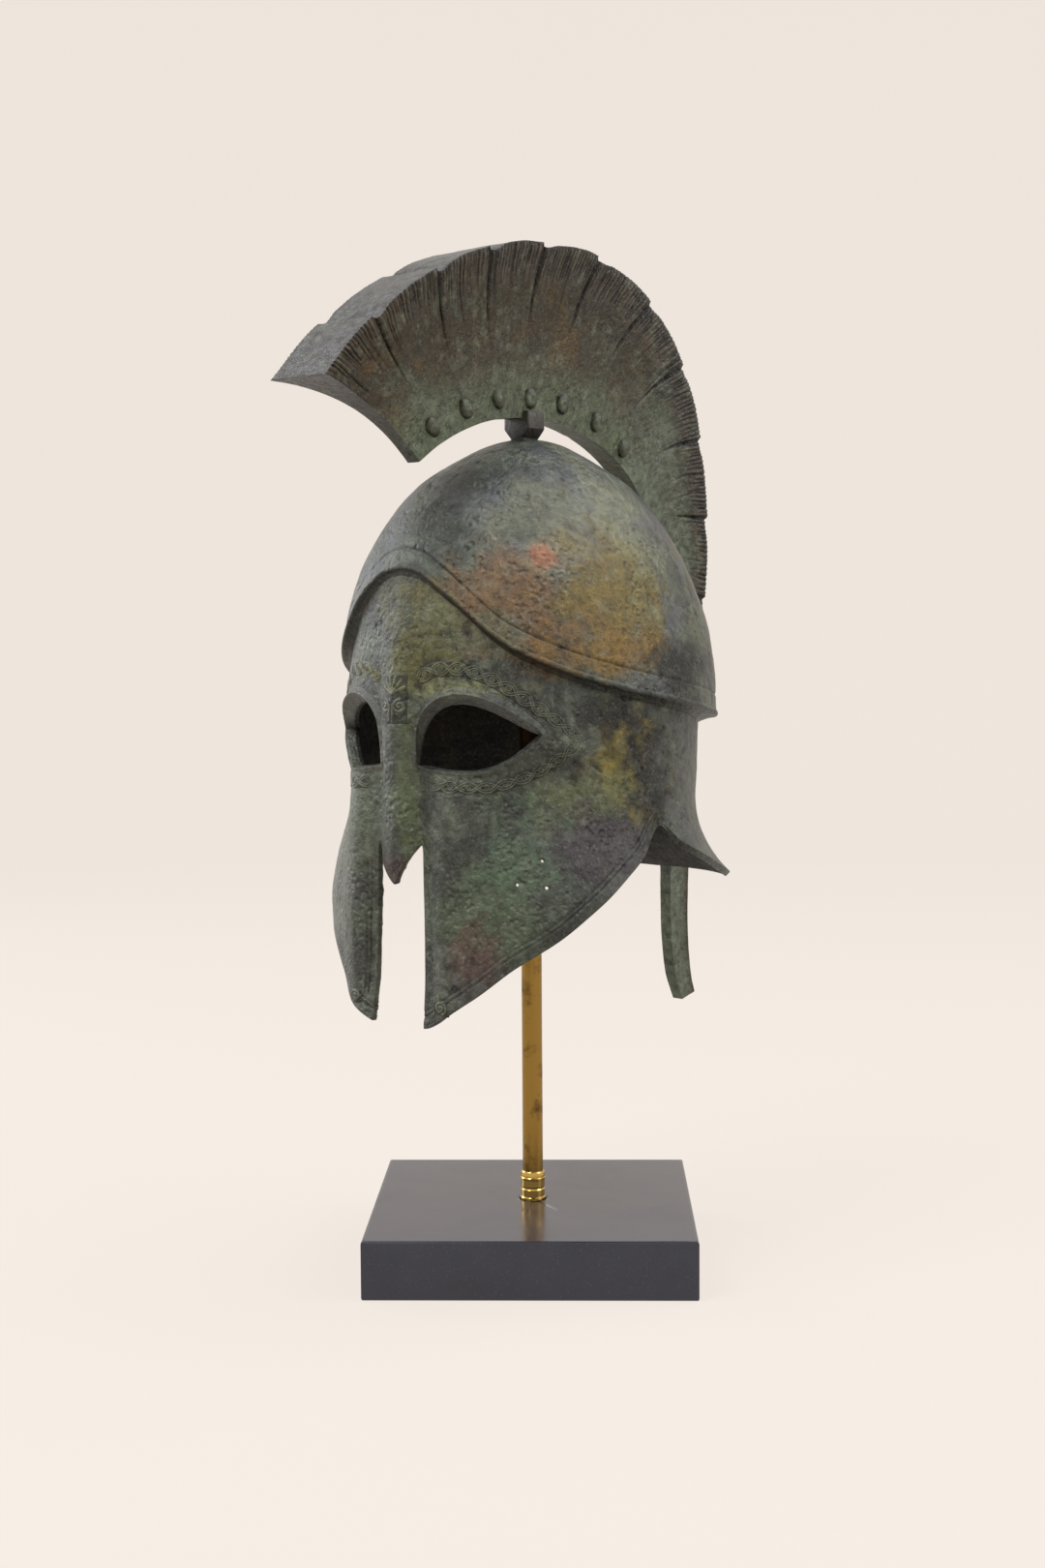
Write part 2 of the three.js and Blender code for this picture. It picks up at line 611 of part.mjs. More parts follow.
function ferrule() {
  const foot = BASE.height - FERRULE.recessDepth + GAP;
  const { radius, height, lip } = FERRULE;
  const inside = ROD.radius + GAP;
  const groove = foot + height * 0.45;
  return lathe([
    [inside, foot],
    [radius + lip, foot],
    [radius + lip, foot + 2],
    [radius, foot + 2.6],
    [radius, groove - 0.6],
    [radius - 0.35, groove],
    [radius, groove + 0.6],
    [radius, foot + height - 0.8],
    [radius - 0.6, foot + height],
    [inside, foot + height],
    [inside, foot],
  ]);
}

function base() {
  const half = BASE.side / 2;
  const outline = new THREE.Shape([
    new THREE.Vector2(-half + BASE.chamfer, -half + BASE.chamfer),
    new THREE.Vector2(half - BASE.chamfer, -half + BASE.chamfer),
    new THREE.Vector2(half - BASE.chamfer, half - BASE.chamfer),
    new THREE.Vector2(-half + BASE.chamfer, half - BASE.chamfer),
  ]);
  const block = new THREE.ExtrudeGeometry(outline, {
    depth: BASE.height - 2 * BASE.chamfer,
    bevelThickness: BASE.chamfer,
    bevelSize: BASE.chamfer,
    bevelSegments: 1,
  });
  block.translate(0, 0, BASE.chamfer);
  const bore = ROD.radius + GAP;
  const seat = new THREE.CylinderGeometry(bore, bore, 2 * ROD.seatDepth, ROUND_SIDES);
  seat.rotateX(Math.PI / 2).translate(0, 0, BASE.height);
  const { recessRadius, recessDepth } = FERRULE;
  const recess = new THREE.CylinderGeometry(recessRadius, recessRadius, 2 * recessDepth, ROUND_SIDES);
  recess.rotateX(Math.PI / 2).translate(0, 0, BASE.height);
  return toGeometry(toSolid(block).subtract(toSolid(seat)).subtract(toSolid(recess)));
}

// ---------------------------------------------------------------- assembly
function piece(name, geometry, material) {
  const mesh = new THREE.Mesh(geometry, material);
  mesh.name = name;
  return mesh;
}

const shellGeometry = helmetShell();
const crestGeometry = crest();
const helmet = new THREE.Group();
helmet.add(
  piece("helmet_shell", shellGeometry, bronze),
  piece("crest", crestGeometry, bronze),
  piece("crest_post", crestPost(toSolid(crestGeometry), toSolid(shellGeometry)), darkBronze),
);

const stand = new THREE.Group();
stand.rotation.z = radians(BASE.turn);
stand.add(
  piece("base", base(), blackMarble),
  piece("rod", rod(), brass),
  piece("ferrule", ferrule(), brass),
);

const part = new THREE.Group();
part.add(helmet, stand);

export default part;
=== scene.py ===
# %% [markdown]
# # A crested Greek helmet of cast bronze, on its stand
#
# The object is a copy of an ancient helmet, cast in bronze and given a many-coloured patina. It
# hangs on a brass rod that stands in a block of dark marble. The CAD model already fixes every
# size. This lesson makes each surface again with many more points, so that it can carry what a
# solid leaves out: the rolled rim, the incised lines, the scrolls, the combed hair and the wear.
#
# We work in millimetres, as the foundry would, and divide by 1000 only when a mesh is made.

# %% Load the frame
import math

import bpy
import numpy as np
from mathutils import Matrix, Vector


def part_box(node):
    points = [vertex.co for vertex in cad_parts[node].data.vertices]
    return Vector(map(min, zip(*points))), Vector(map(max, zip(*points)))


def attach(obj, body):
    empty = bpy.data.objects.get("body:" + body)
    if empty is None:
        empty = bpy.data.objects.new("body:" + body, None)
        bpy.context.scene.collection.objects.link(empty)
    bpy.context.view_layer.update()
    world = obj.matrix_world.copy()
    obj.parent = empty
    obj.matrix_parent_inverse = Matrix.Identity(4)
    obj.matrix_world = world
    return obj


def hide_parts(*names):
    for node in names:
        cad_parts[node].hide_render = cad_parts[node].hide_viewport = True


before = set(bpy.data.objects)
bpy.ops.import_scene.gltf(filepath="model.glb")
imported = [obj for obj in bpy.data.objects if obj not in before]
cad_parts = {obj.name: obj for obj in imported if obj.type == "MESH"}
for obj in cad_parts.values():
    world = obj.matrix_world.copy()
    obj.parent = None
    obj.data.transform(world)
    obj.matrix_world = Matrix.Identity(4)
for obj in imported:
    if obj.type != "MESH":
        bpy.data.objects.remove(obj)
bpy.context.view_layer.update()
print("CAD nodes:", ", ".join(sorted(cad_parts)))

# %% [markdown]
# ## The camera
#
# It stands 1.1 m away, a little above the eyes of the helmet, and looks at the wearer's left
# cheek from 42 degrees off the nose. A long lens keeps the base and the crest in proportion.

# %% Place the camera
VIEW_BEARING, VIEW_DISTANCE, VIEW_HEIGHT = 42.0, 1.1175, 0.328
VIEW_PITCH, VIEW_ROLL, VIEW_SHIFT_ACROSS = 3.911, 0.38, 0.0042

across = np.array([math.cos(math.radians(VIEW_BEARING)), math.sin(math.radians(VIEW_BEARING)), 0])
level = np.array([-across[1], across[0], 0])
pitch, roll = math.radians(VIEW_PITCH), math.radians(VIEW_ROLL)
ahead = level * math.cos(pitch) + np.array([0, 0, -math.sin(pitch)])
upright = np.cross(across, ahead)
right = across * math.cos(roll) - upright * math.sin(roll)
up = across * math.sin(roll) + upright * math.cos(roll)
stand_point = -level * VIEW_DISTANCE - across * VIEW_SHIFT_ACROSS + np.array([0, 0, VIEW_HEIGHT])


def facing(right, up, ahead, at):
    """The matrix of a camera or a lamp that stands at a point and looks ahead."""
    return Matrix([(right[i], up[i], -ahead[i], at[i]) for i in range(3)] + [(0, 0, 0, 1)])


lens = bpy.data.cameras.new("camera")
lens.lens, lens.sensor_width, lens.clip_end = 48.76, 36.0, 50.0  # mm, mm and m
camera = bpy.data.objects.new("camera", lens)
camera.matrix_world = facing(right, up, ahead, stand_point)
bpy.context.scene.collection.objects.link(camera)
bpy.context.scene.camera = camera
print("camera at", np.round(stand_point, 3))

# %% [markdown]
# ## Curves through tables
#
# A pattern maker would hand over a few radii at a few heights. To draw a smooth surface from them
# we need a curve that passes through every number and never bulges between two of them. The
# monotone cubic does this: it flattens wherever the table turns.

# %% One smooth curve
def along(xs, ys, x):
    """Heights of a smooth curve through (xs, ys) at x. ys may have one column for each x."""
    xs, ys, x = (np.asarray(values, float) for values in (xs, ys, x))
    step = np.diff(xs).reshape((-1,) + (1,) * (ys.ndim - 1))
    slope = np.diff(ys, axis=0) / step
    before = 2 * step[1:] + step[:-1]
    after = step[1:] + 2 * step[:-1]
    turns = slope[:-1] * slope[1:] <= 0
    left = np.where(turns, 1.0, slope[:-1])
    rise = np.where(turns, 1.0, slope[1:])
    tangent = np.empty_like(ys)
    tangent[1:-1] = np.where(turns, 0.0, (before + after) / (before / left + after / rise))
    tangent[0], tangent[-1] = slope[0], slope[-1]
    i = np.clip(np.searchsorted(xs, x) - 1, 0, len(xs) - 2)
    width = xs[i + 1] - xs[i]
    t = np.clip((x - xs[i]) / width, 0, 1)
    here = (i,) if ys.ndim == 1 else (i, np.arange(x.size))
    there = (i + 1,) + here[1:]
    bend = (2 * t - 3) * t * t
    curve = (bend + 1) * ys[here] - bend * ys[there]
    return curve + width * (t * (t - 1) ** 2 * tangent[here] + t * t * (t - 1) * tangent[there])


def ease(x, low=0.0, high=1.0):
    """0 below low, 1 above high, and a smooth S between."""
    t = np.clip((np.asarray(x, float) - low) / (high - low), 0, 1)
    return t * t * (3 - 2 * t)


print("halfway up an S:", float(ease(0.5)))

# %% [markdown]
# ## The helmet's form
#
# The form is a dome that overlaps a face, as a cap pulled down over it. Each is a table of
# distances from the rod. Bearings are in degrees: 0 at the nose, 90 at the ear, 180 at the nape.

# %% The dome and the line of its rim
APEX = 431.4
WALL = 3.6
DOME = np.array([  # height, then the radius in front, at the side and behind
    (431.4, 0, 0, 0),
    (420, 41, 32, 35.5),
    (406, 64, 50.5, 58),
    (379, 87.5, 70, 82),
    (356, 98, 82, 92),
    (329, 103, 90, 101.5),
    (304, 105, 92.5, 105.5),
    (274, 105, 93, 106),
])
RIM_LINE = np.array([  # bearing, height
    (0, 364.5), (6, 362.8), (16, 353), (37, 325), (57, 311),
    (72, 304.5), (90, 299), (106, 295), (138, 288), (180, 285),
])


def rim_line(bearing):
    return along(RIM_LINE[:, 0], RIM_LINE[:, 1], bearing)


def dome_radius(bearing, z):
    """Each level section of the dome is an ellipse, longer in front or behind."""
    depth = np.sqrt(np.maximum(0, APEX - z))
    front, side, back = (along(np.sqrt(APEX - DOME[:, 0]), DOME[:, k], depth) for k in (1, 2, 3))
    length = np.maximum(np.where(bearing < 90, front, back), 1e-6)
    angle = np.radians(bearing)
    return 1 / np.hypot(np.cos(angle) / length, np.sin(angle) / np.maximum(side, 1e-6))


print("dome is", 2 * DOME[-1, 2], "mm broad and", DOME[-1, 1] + DOME[-1, 3], "mm long")

# %% The face, the nose ridge and the neck guard
BEARINGS = np.array([0, 9, 18, 30, 45, 60, 75, 90, 130, 180], float)
FACE = np.array([  # height, then the radius at each bearing
    (134, 99, 101.7, 105, 99.5, 100, 102, 101, 95, 86.5, 85),
    (164, 97.5, 98.7, 105, 102.5, 103.5, 105, 103, 95, 86.5, 85),
    (194, 96.5, 98, 105, 103.5, 105, 105.5, 103, 95, 86.5, 85),
    (214, 97.5, 98.2, 104.5, 102, 102, 101, 98, 90, 86.5, 85),
    (242, 97, 98, 103, 97.5, 94, 92, 89.5, 86.5, 86.5, 85),
    (259, 96.5, 97.3, 101, 96.5, 92.5, 90.5, 88.2, 86.5, 87.4, 87),
    (279, 97, 97.5, 99, 98, 95.5, 91.5, 88.8, 86.6, 88, 89.5),
    (296, 98, 97.5, 98, 97.5, 95, 91, 88.5, 86.8, 88.5, 91),
    (319, 98, 97.5, 97, 95, 92, 89, 87, 85.5, 87, 90.5),
    (344, 96.5, 96, 95, 92, 88.5, 85.5, 84, 83, 84, 88),
    (369, 93, 92.5, 91, 88, 84, 81, 80, 79, 80, 84),
])
RIDGE = np.array([(204, 4), (219, 4.6), (244, 5.6), (274, 6), (294, 4.6), (319, 1.8), (344, 0)])
RIDGE_HALF_BEARING = 8.0
LOWER_EDGE = np.array([  # bearing, height: cheek point, ear notch, neck guard
    (0, 134), (9.7, 137.5), (25, 153), (36.6, 168.5), (49.5, 183.3), (60.3, 198.7), (70.3, 212),
    (79, 221.8), (91, 235), (96, 226.6), (105, 219.5), (118, 211), (131, 205), (180, 202.5),
])
GUARD_FLARE = np.array([(91, 0), (96, 5.5), (105, 9.5), (118, 14), (131, 18.5), (180, 24)])
GUARD_TOP, GUARD_POWER = 254.0, 2.8


def lower_edge(bearing):
    return along(LOWER_EDGE[:, 0], LOWER_EDGE[:, 1], bearing)


def face_radius(bearing, z):
    """The table's radius, with the nose ridge and the flare of the neck guard added."""
    columns = np.stack([along(FACE[:, 0], FACE[:, k + 1], z) for k in range(len(BEARINGS))])
    section = along(BEARINGS, columns, bearing)
    near_ridge = np.maximum(0, 1 - (bearing / RIDGE_HALF_BEARING) ** 2) ** 1.5
    down = np.clip((GUARD_TOP - z) / (GUARD_TOP - lower_edge(bearing)), 0, 1)
    flare = along(GUARD_FLARE[:, 0], GUARD_FLARE[:, 1], bearing) * down**GUARD_POWER
    return section + along(RIDGE[:, 0], RIDGE[:, 1], z) * near_ridge + flare


def place(radius, turn, z):
    """Points from a radius, a signed bearing (the wearer's left is positive) and a height."""
    angle = np.radians(turn)
    return np.stack(np.broadcast_arrays(radius * np.sin(angle), -radius * np.cos(angle), z), -1)


def bearing_of(points):
    return np.degrees(np.abs(np.arctan2(points[..., 0], -points[..., 1])))


print("nose ridge at", place(face_radius(np.zeros(1), np.full(1, 274.0)), 0, 274.0).round(1))

# %% [markdown]
# ## Meshes out of arrays
#
# Every skin is a grid of points, so we keep points as numpy arrays and faces as rows of numbers.
# Three small tools do the work: one joins rows of points into faces, one cuts a hole where a
# number passes through zero (as a saw follows a line), and one hands the result to Blender.

# %% Rows of points to triangles
def rows_to_faces(rows, columns, round_trip=True):
    """Triangles of a grid whose rows run round (or across) and are stacked one below the other."""
    r, c = np.meshgrid(np.arange(rows - 1), np.arange(columns - (not round_trip)), indexing="ij")
    a = (r * columns + c).ravel()
    b = (r * columns + (c + 1) % columns).ravel()
    return np.concatenate([np.stack([a, a + columns, b + columns], -1), np.stack([a, b + columns, b], -1)])


def normals_at(points, faces):
    """One outward direction at each point, averaged from the faces around it."""
    a, b, c = (points[faces[:, k]] for k in range(3))
    square = np.cross(b - a, c - a)
    total = np.zeros_like(points)
    for k in range(3):
        for axis in range(3):
            total[:, axis] += np.bincount(faces[:, k], square[:, axis], len(points))
    return total / np.maximum(np.linalg.norm(total, axis=1, keepdims=True), 1e-12)


def volume(points, faces):
    """Six times the volume of a closed mesh, and negative where the mesh is inside out."""
    a, b, c = (points[faces[:, k]] for k in range(3))
    return np.einsum("ij,ij->i", a, np.cross(b, c)).sum()


def saw(points, faces, keep):
    """Cuts the mesh along the line where keep is zero, and drops the side where it is negative."""
    stays = keep > 0
    count = stays[faces].sum(1)
    parts = [faces[count == 3]]
    cuts, corners = [], []
    for amount in (1, 2):
        some = faces[count == amount]
        odd = stays[some] if amount == 1 else ~stays[some]
        turn = (odd.argmax(1)[:, None] + np.arange(3)) % 3
        some = np.take_along_axis(some, turn, 1)
        cuts.append(np.concatenate([some[:, [0, 1]], some[:, [0, 2]]]))
        corners.append(some)
    pairs = np.sort(np.concatenate(cuts), 1)
    unique, back = np.unique(pairs, axis=0, return_inverse=True)
    back = back.ravel() + len(points)
    i, j = unique[:, 0], unique[:, 1]
    share = (keep[i] / (keep[i] - keep[j]))[:, None]
    fresh = points[i] + share * (points[j] - points[i])
    n1, n2 = len(corners[0]), len(corners[1])
    ab, ac = back[:n1], back[n1:2 * n1]
    parts.append(np.stack([corners[0][:, 0], ab, ac], -1))
    ab, ac = back[2 * n1:2 * n1 + n2], back[2 * n1 + n2:]
    b, c = corners[1][:, 1], corners[1][:, 2]
    parts += [np.stack([ab, b, c], -1), np.stack([ab, c, ac], -1)]
    faces = np.concatenate(parts)
    points = np.concatenate([points, fresh])
    used, faces = np.unique(faces, return_inverse=True)
    return points[used], faces.reshape(-1, 3)


print("a 3 by 4 ring has", len(rows_to_faces(3, 4)), "triangles")

# %% Hand a mesh to Blender
def make_piece(name, points, faces, material, nodes, slot, sharp=40.0, patina_and_shade=None):
    """A smooth-shaded mesh object from millimetres, with its painted colour at each point."""
    mesh = bpy.data.meshes.new(name)
    mesh.from_pydata((np.asarray(points) / 1000).tolist(), [], [list(face) for face in faces])
    mesh.polygons.foreach_set("use_smooth", np.ones(len(mesh.polygons), bool))
    mesh.set_sharp_from_angle(angle=math.radians(sharp))
    if patina_and_shade is not None:
        paint = np.ones((len(patina_and_shade), 4), np.float32)
        paint[:, :3] = patina_and_shade
        mesh.attributes.new("patina_and_shade", "FLOAT_COLOR", "POINT").data.foreach_set("color", paint.ravel())
    piece = bpy.data.objects.new(name, mesh)
    bpy.context.scene.collection.objects.link(piece)
    piece.data.materials.append(material)
    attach(piece, "root")
    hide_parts(*nodes)
    triangles = sum(len(polygon.vertices) - 2 for polygon in mesh.polygons)
    print(f"{name}: {triangles} triangles")


# %% [markdown]
# ## Lumps without order
#
# Nothing cast in sand or wax is even. Value noise gives smooth random lumps of a chosen size: we
# keep random numbers at the corners of a lattice and blend them. The seed makes it repeatable.

# %% Noise in millimetres
# The lattice is tilted, so that its rows never line up with an edge of the object.
LATTICE_TILT = np.array([[0.48, -0.62, 0.62], [0.60, 0.75, 0.28], [-0.64, 0.24, 0.73]])


def lumps(points, size, seed):
    """Smooth random numbers from -1 to 1, with lumps about size mm across."""
    table = np.random.default_rng(seed).uniform(-1, 1, (32, 32, 32))
    cell = points @ LATTICE_TILT / size
    corner = np.floor(cell).astype(int)
    blend = ease(cell - corner)
    total = np.zeros(len(points))
    for k in range(8):
        pick = np.array([k >> 2 & 1, k >> 1 & 1, k & 1])
        weight = np.prod(np.where(pick, blend, 1 - blend), axis=1)
        i, j, m = ((corner + pick) % 32).T
        total += weight * table[i, j, m]
    return total


print("noise at one point:", round(float(lumps(np.array([[3.0, 4.0, 5.0]]), 10, 1)[0]), 3))

# %% [markdown]
# ## Colour
#
# Colours are written as they look on a screen (sRGB hex). Light adds up in linear numbers, so one
# function converts them, for meshes and for nodes alike.

# %% sRGB hex to linear
def linear(hex_colour):
    """Linear red, green and blue of an sRGB colour such as "#8a7c36"."""
    byte = np.array([int(hex_colour[k:k + 2], 16) for k in (1, 3, 5)]) / 255
    return np.where(byte <= 0.04045, byte / 12.92, ((byte + 0.055) / 1.055) ** 2.4)


print("mid grey is", linear("#808080").round(3))

# %% One way to add a node
def add_node(tree, kind, sockets=None, **settings):
    """Adds a node with its settings; sockets gives each input's value or the output that feeds it."""
    made = tree.nodes.new(kind)
    for key, value in settings.items():
        setattr(made, key, value)
    for key, value in (sockets or {}).items():
        if isinstance(value, bpy.types.NodeSocket):
            tree.links.new(value, made.inputs[key])
        else:
            made.inputs[key].default_value = value
    return made


def new_material(name):
    """An empty node material and its Principled shader."""
    material = bpy.data.materials.new(name)
    material.use_nodes = True
    return material, material.node_tree, material.node_tree.nodes["Principled BSDF"]


# %% [markdown]
# ## The openings
#
# Each opening is drawn flat and cut straight through the skin, as a fret saw would. The slit is
# drawn on the plane that faces the nose, and an eye on an upright plane turned 33 degrees.

# %% Draw the openings
TINY = 1e-12  # keeps a division by an edge of no length from failing
FAR_OFF = 50.0  # stands for a distance that is too long to matter
FRONT, ABOVE_SLIT = -30.0, 236.0  # the slit lies in front of the one and below the other
EYE_BEARING = 33.0
EYE = dict(inner=-41.5, outer=17.5, floor=267.0, tip=281.5, top=296.5, low=264.5)


def bezier(a, b, c, d, steps):
    t = np.linspace(0, 1, steps, endpoint=False)[:, None]
    a, b, c, d = (np.array(p, float) for p in (a, b, c, d))
    return (1 - t) ** 3 * a + 3 * t * (1 - t) ** 2 * b + 3 * t * t * (1 - t) * c + t**3 * d


def eye_outline(steps):
    """The edge of the opening: up the inner corner, over the top, and back along the bottom."""
    inner, outer, floor, tip, top, low = EYE.values()
    width = outer - inner
    corner, brow = (inner, floor), (inner + 0.36 * width, top)
    point, sole = (outer, tip), (inner + 0.44 * width, low)
    return np.concatenate([
        bezier(corner, (inner, floor + 20), (inner + 0.16 * width, top), brow, steps),
        bezier(brow, (inner + 0.6 * width, top), (outer - 9, tip + 4), point, steps),
        bezier(point, (outer - 9, tip - 9), (inner + 0.66 * width, low), sole, steps),
        bezier(sole, (inner + 0.25 * width, low), (inner + 6, floor - 0.6), corner, steps),
    ])


def slit_outline():
    """The gap between the cheeks, with the point of the nose guard hanging in it."""
    side = np.array([(18.3, 120), (18.3, 137.5), (17.6, 150), (16.9, 170), (16.4, 190), (16.1, 210),
                     (16.0, 220), (15.95, 225), (15.6, 227), (14.9, 228.2), (14.0, 228.3), (12.8, 227)])
    point = np.array([(5.8, 217), (0, 207.5), (-10.8, 217)])
    return np.concatenate([side, point, side[::-1] * (-1, 1)])


def near_slit(points, half_width):
    """Which points lie close enough to the slit for it to matter."""
    return (points[:, 1] < FRONT) & (np.abs(points[:, 0]) < half_width) & (points[:, 2] < ABOVE_SLIT)


def outside_of(outline, flat):
    """Distance from each flat point to a closed outline: positive outside it, negative inside."""
    ends = np.roll(outline, -1, axis=0)
    near = np.full(len(flat), np.inf)
    inside = np.zeros(len(flat), bool)
    for (ax, ay), (bx, by) in zip(outline, ends):
        from_x, from_y, run_x, run_y = flat[:, 0] - ax, flat[:, 1] - ay, bx - ax, by - ay
        t = np.clip((from_x * run_x + from_y * run_y) / (run_x**2 + run_y**2 + TINY), 0, 1)
        near = np.minimum(near, np.hypot(from_x - t * run_x, from_y - t * run_y))
        crosses = (ay > flat[:, 1]) != (by > flat[:, 1])
        inside ^= crosses & (flat[:, 0] < ax + from_y * run_x / (run_y + TINY))
    return np.where(inside, -near, near)


print("the eye is", EYE["outer"] - EYE["inner"], "mm long and", EYE["top"] - EYE["low"], "mm high")

# %% Which way the lid spreads from the eye
EYE_ALONG = np.array([math.cos(math.radians(EYE_BEARING)), math.sin(math.radians(EYE_BEARING)), 0])
EYE_OUT = np.array([EYE_ALONG[1], -EYE_ALONG[0], 0])


def lid_spread(outline):
    """At each point of the outline: the direction away from the eye, the lid's breadth and rise."""
    way = np.roll(outline, -1, axis=0) - np.roll(outline, 1, axis=0)
    away = np.stack([-way[:, 1], way[:, 0]], -1)
    reach = max(1, len(outline) // 60)
    for _ in range(3):
        away = sum(np.roll(away, k, axis=0) for k in range(-reach, reach + 1))
    away /= np.linalg.norm(away, axis=1, keepdims=True)
    share = ease(outline[:, 1], EYE["low"] + 6, EYE["top"] - 4)
    return away, 1.6 + 3.4 * share, 0.8 + 1.6 * share


def onto_face(u, z, height=0.0):
    """From the eye's drawing plane out to the face, or to a height above the face."""
    reach = np.full(np.shape(u), 90.0)
    for _ in range(8):
        spot = u[:, None] * EYE_ALONG + reach[:, None] * EYE_OUT
        reach = np.sqrt(face_radius(bearing_of(spot), z) ** 2 - u**2)
    spot = u[:, None] * EYE_ALONG + (reach + height)[:, None] * EYE_OUT
    spot[:, 2] = z
    return spot


eye_edge = eye_outline(40)
away, breadth, rise = lid_spread(eye_edge)
eye_hole = eye_edge + away * (0.62 * (breadth + rise))[:, None]
LACE_HOLES = [(38, 210), (45, 221.5), (46, 208.5)]  # bearing and height
LACE_RADIUS = 1.3
print("lid breadth", breadth.min().round(1), "to", breadth.max().round(1), "mm")

# %% Saw the openings out of a skin
def cut_openings(points, faces):
    """Cuts the slit, both eyes and the lacing holes."""
    def keep(drawn, outline, nearby):
        numbers = np.full(len(points), FAR_OFF)
        numbers[nearby] = outside_of(outline, drawn[nearby])
        return numbers

    points, faces = saw(points, faces, keep(points[:, [0, 2]], slit_outline(), near_slit(points, 24)))
    for side in (1, -1):
        flipped = points * (side, 1, 1)
        drawn = np.stack([flipped @ EYE_ALONG, points[:, 2]], -1)
        near = (flipped @ EYE_OUT > 30) & (np.abs(drawn[:, 0] + 12) < 40) & (np.abs(points[:, 2] - 281) < 24)
        points, faces = saw(points, faces, keep(drawn, eye_hole[::2], near))
        for at, z in LACE_HOLES:
            angle = math.radians(at)
            tangent = np.array([math.cos(angle) * side, math.sin(angle), 0])
            outward = np.array([math.sin(angle) * side, -math.cos(angle), 0])
            gap = np.hypot(points @ tangent, points[:, 2] - z) - LACE_RADIUS
            points, faces = saw(points, faces, np.where(points @ outward > 30, gap, FAR_OFF))
    return points, faces


print("to saw out: a slit, two eyes and", 2 * len(LACE_HOLES), "lacing holes")

# %% [markdown]
# ## The face
#
# On the real helmet the face, the cheeks and the neck guard are one wall of bronze. We make its
# outer skin as a grid that is closer at the front, push it in and out a little so that it looks
# cast by hand, cut two border lines into it, and then saw out the openings.

# %% The outer skin of the face
LEDGE = 6.5
FACE_COLUMNS, FACE_ROWS, EDGE_ROWS = 560, 104, 28


def face_grid():
    u = np.linspace(-1, 1, FACE_COLUMNS, endpoint=False)
    turn = 180 * (u - 0.45 / math.pi * np.sin(math.pi * u))  # closer together near the nose
    bearing = np.abs(turn)
    low, high = lower_edge(bearing), rim_line(bearing) - LEDGE + 1.5
    steps = np.concatenate([np.linspace(0, 1, FACE_ROWS, endpoint=False), np.ones(EDGE_ROWS + 1)])
    drop = np.concatenate([np.zeros(FACE_ROWS), 0.5 * np.arange(EDGE_ROWS + 1)])
    z = high + steps[:, None] * (low + 14 - high) - drop[:, None]
    turn, z = np.broadcast_arrays(turn, z)
    turn, z = turn.ravel(), z.ravel()
    return place(face_radius(np.abs(turn), z), turn, z), z - lower_edge(np.abs(turn))


face_points, above_edge = face_grid()
face_faces = rows_to_faces(FACE_ROWS + EDGE_ROWS + 1, FACE_COLUMNS)
print("face grid:", len(face_points), "points")

# %% Unevenness and incised lines
def cast_surface(points):
    """Height in mm of the dents and pits left by the casting, at each point."""
    soft = 0.30 * lumps(points, 26, 11) + 0.16 * lumps(points, 9, 12)
    patchy = ease(lumps(points, 30, 13), -0.25, 0.5)
    pits = np.minimum(0, lumps(points, 3.4, 14) + 0.30) * 0.9
    pits = pits + np.minimum(0, lumps(points, 6.5, 15) + 0.45) * 0.7
    return soft + pits * (0.35 + 0.9 * patchy) + 0.09 * lumps(points, 2.2, 16)


MEAN_RADIUS = 97.0  # of the face, to turn bearings into millimetres round it


def incised(distance, width):
    """Depth profile, from 0 to -1, of a line cut width mm wide."""
    return -np.exp(-((distance / (0.55 * width)) ** 2))


def border_lines(points, above_edge):
    """Two lines that follow the cheek's lower edge and the slit."""
    bearing = bearing_of(points)
    slope = (lower_edge(bearing + 1) - lower_edge(bearing - 1)) / (2 * MEAN_RADIUS * math.pi / 180)
    inset = above_edge / np.hypot(1, slope)
    beside_slit = np.full(len(points), FAR_OFF)
    near = near_slit(points, 32)
    beside_slit[near] = outside_of(slit_outline(), points[near][:, [0, 2]])
    inset = np.where((bearing > 16) | (points[:, 2] > 150), np.minimum(inset, beside_slit + 1.2), inset)
    on_cheek = ease(bearing, 88, 84) * ease(np.where(bearing < 20, points[:, 2], 0), 222, 214)
    lines = 0.42 * incised(inset - 5.2, 1.0) + 0.36 * incised(inset - 7.4, 0.9)
    return lines * on_cheek, inset


face_out = normals_at(face_points, face_faces)
lines, face_inset = border_lines(face_points, above_edge)
face_height = cast_surface(face_points) * ease(face_inset, 0.2, 3.0) + lines
face_points = face_points + face_out * face_height[:, None]
face_points, face_faces = cut_openings(face_points, face_faces)
print("face skin:", len(face_faces), "triangles")

# %% [markdown]
# ## Thickness
#
# A skin alone would look like paper. We follow every cut edge, turn it over with a small round,
# and take it inwards by the thickness of the wall. The inner skin is the same mesh moved inwards,
# so that the two meet exactly.

# %% Turn the edges over
def open_edges(faces):
    """Directed edges that have a face on one side only."""
    edges = np.concatenate([faces[:, [0, 1]], faces[:, [1, 2]], faces[:, [2, 0]]])
    size = int(edges.max()) + 1
    key = edges[:, 0].astype(np.int64) * size + edges[:, 1]
    other = edges[:, 1].astype(np.int64) * size + edges[:, 0]
    return edges[~np.isin(key, other)]


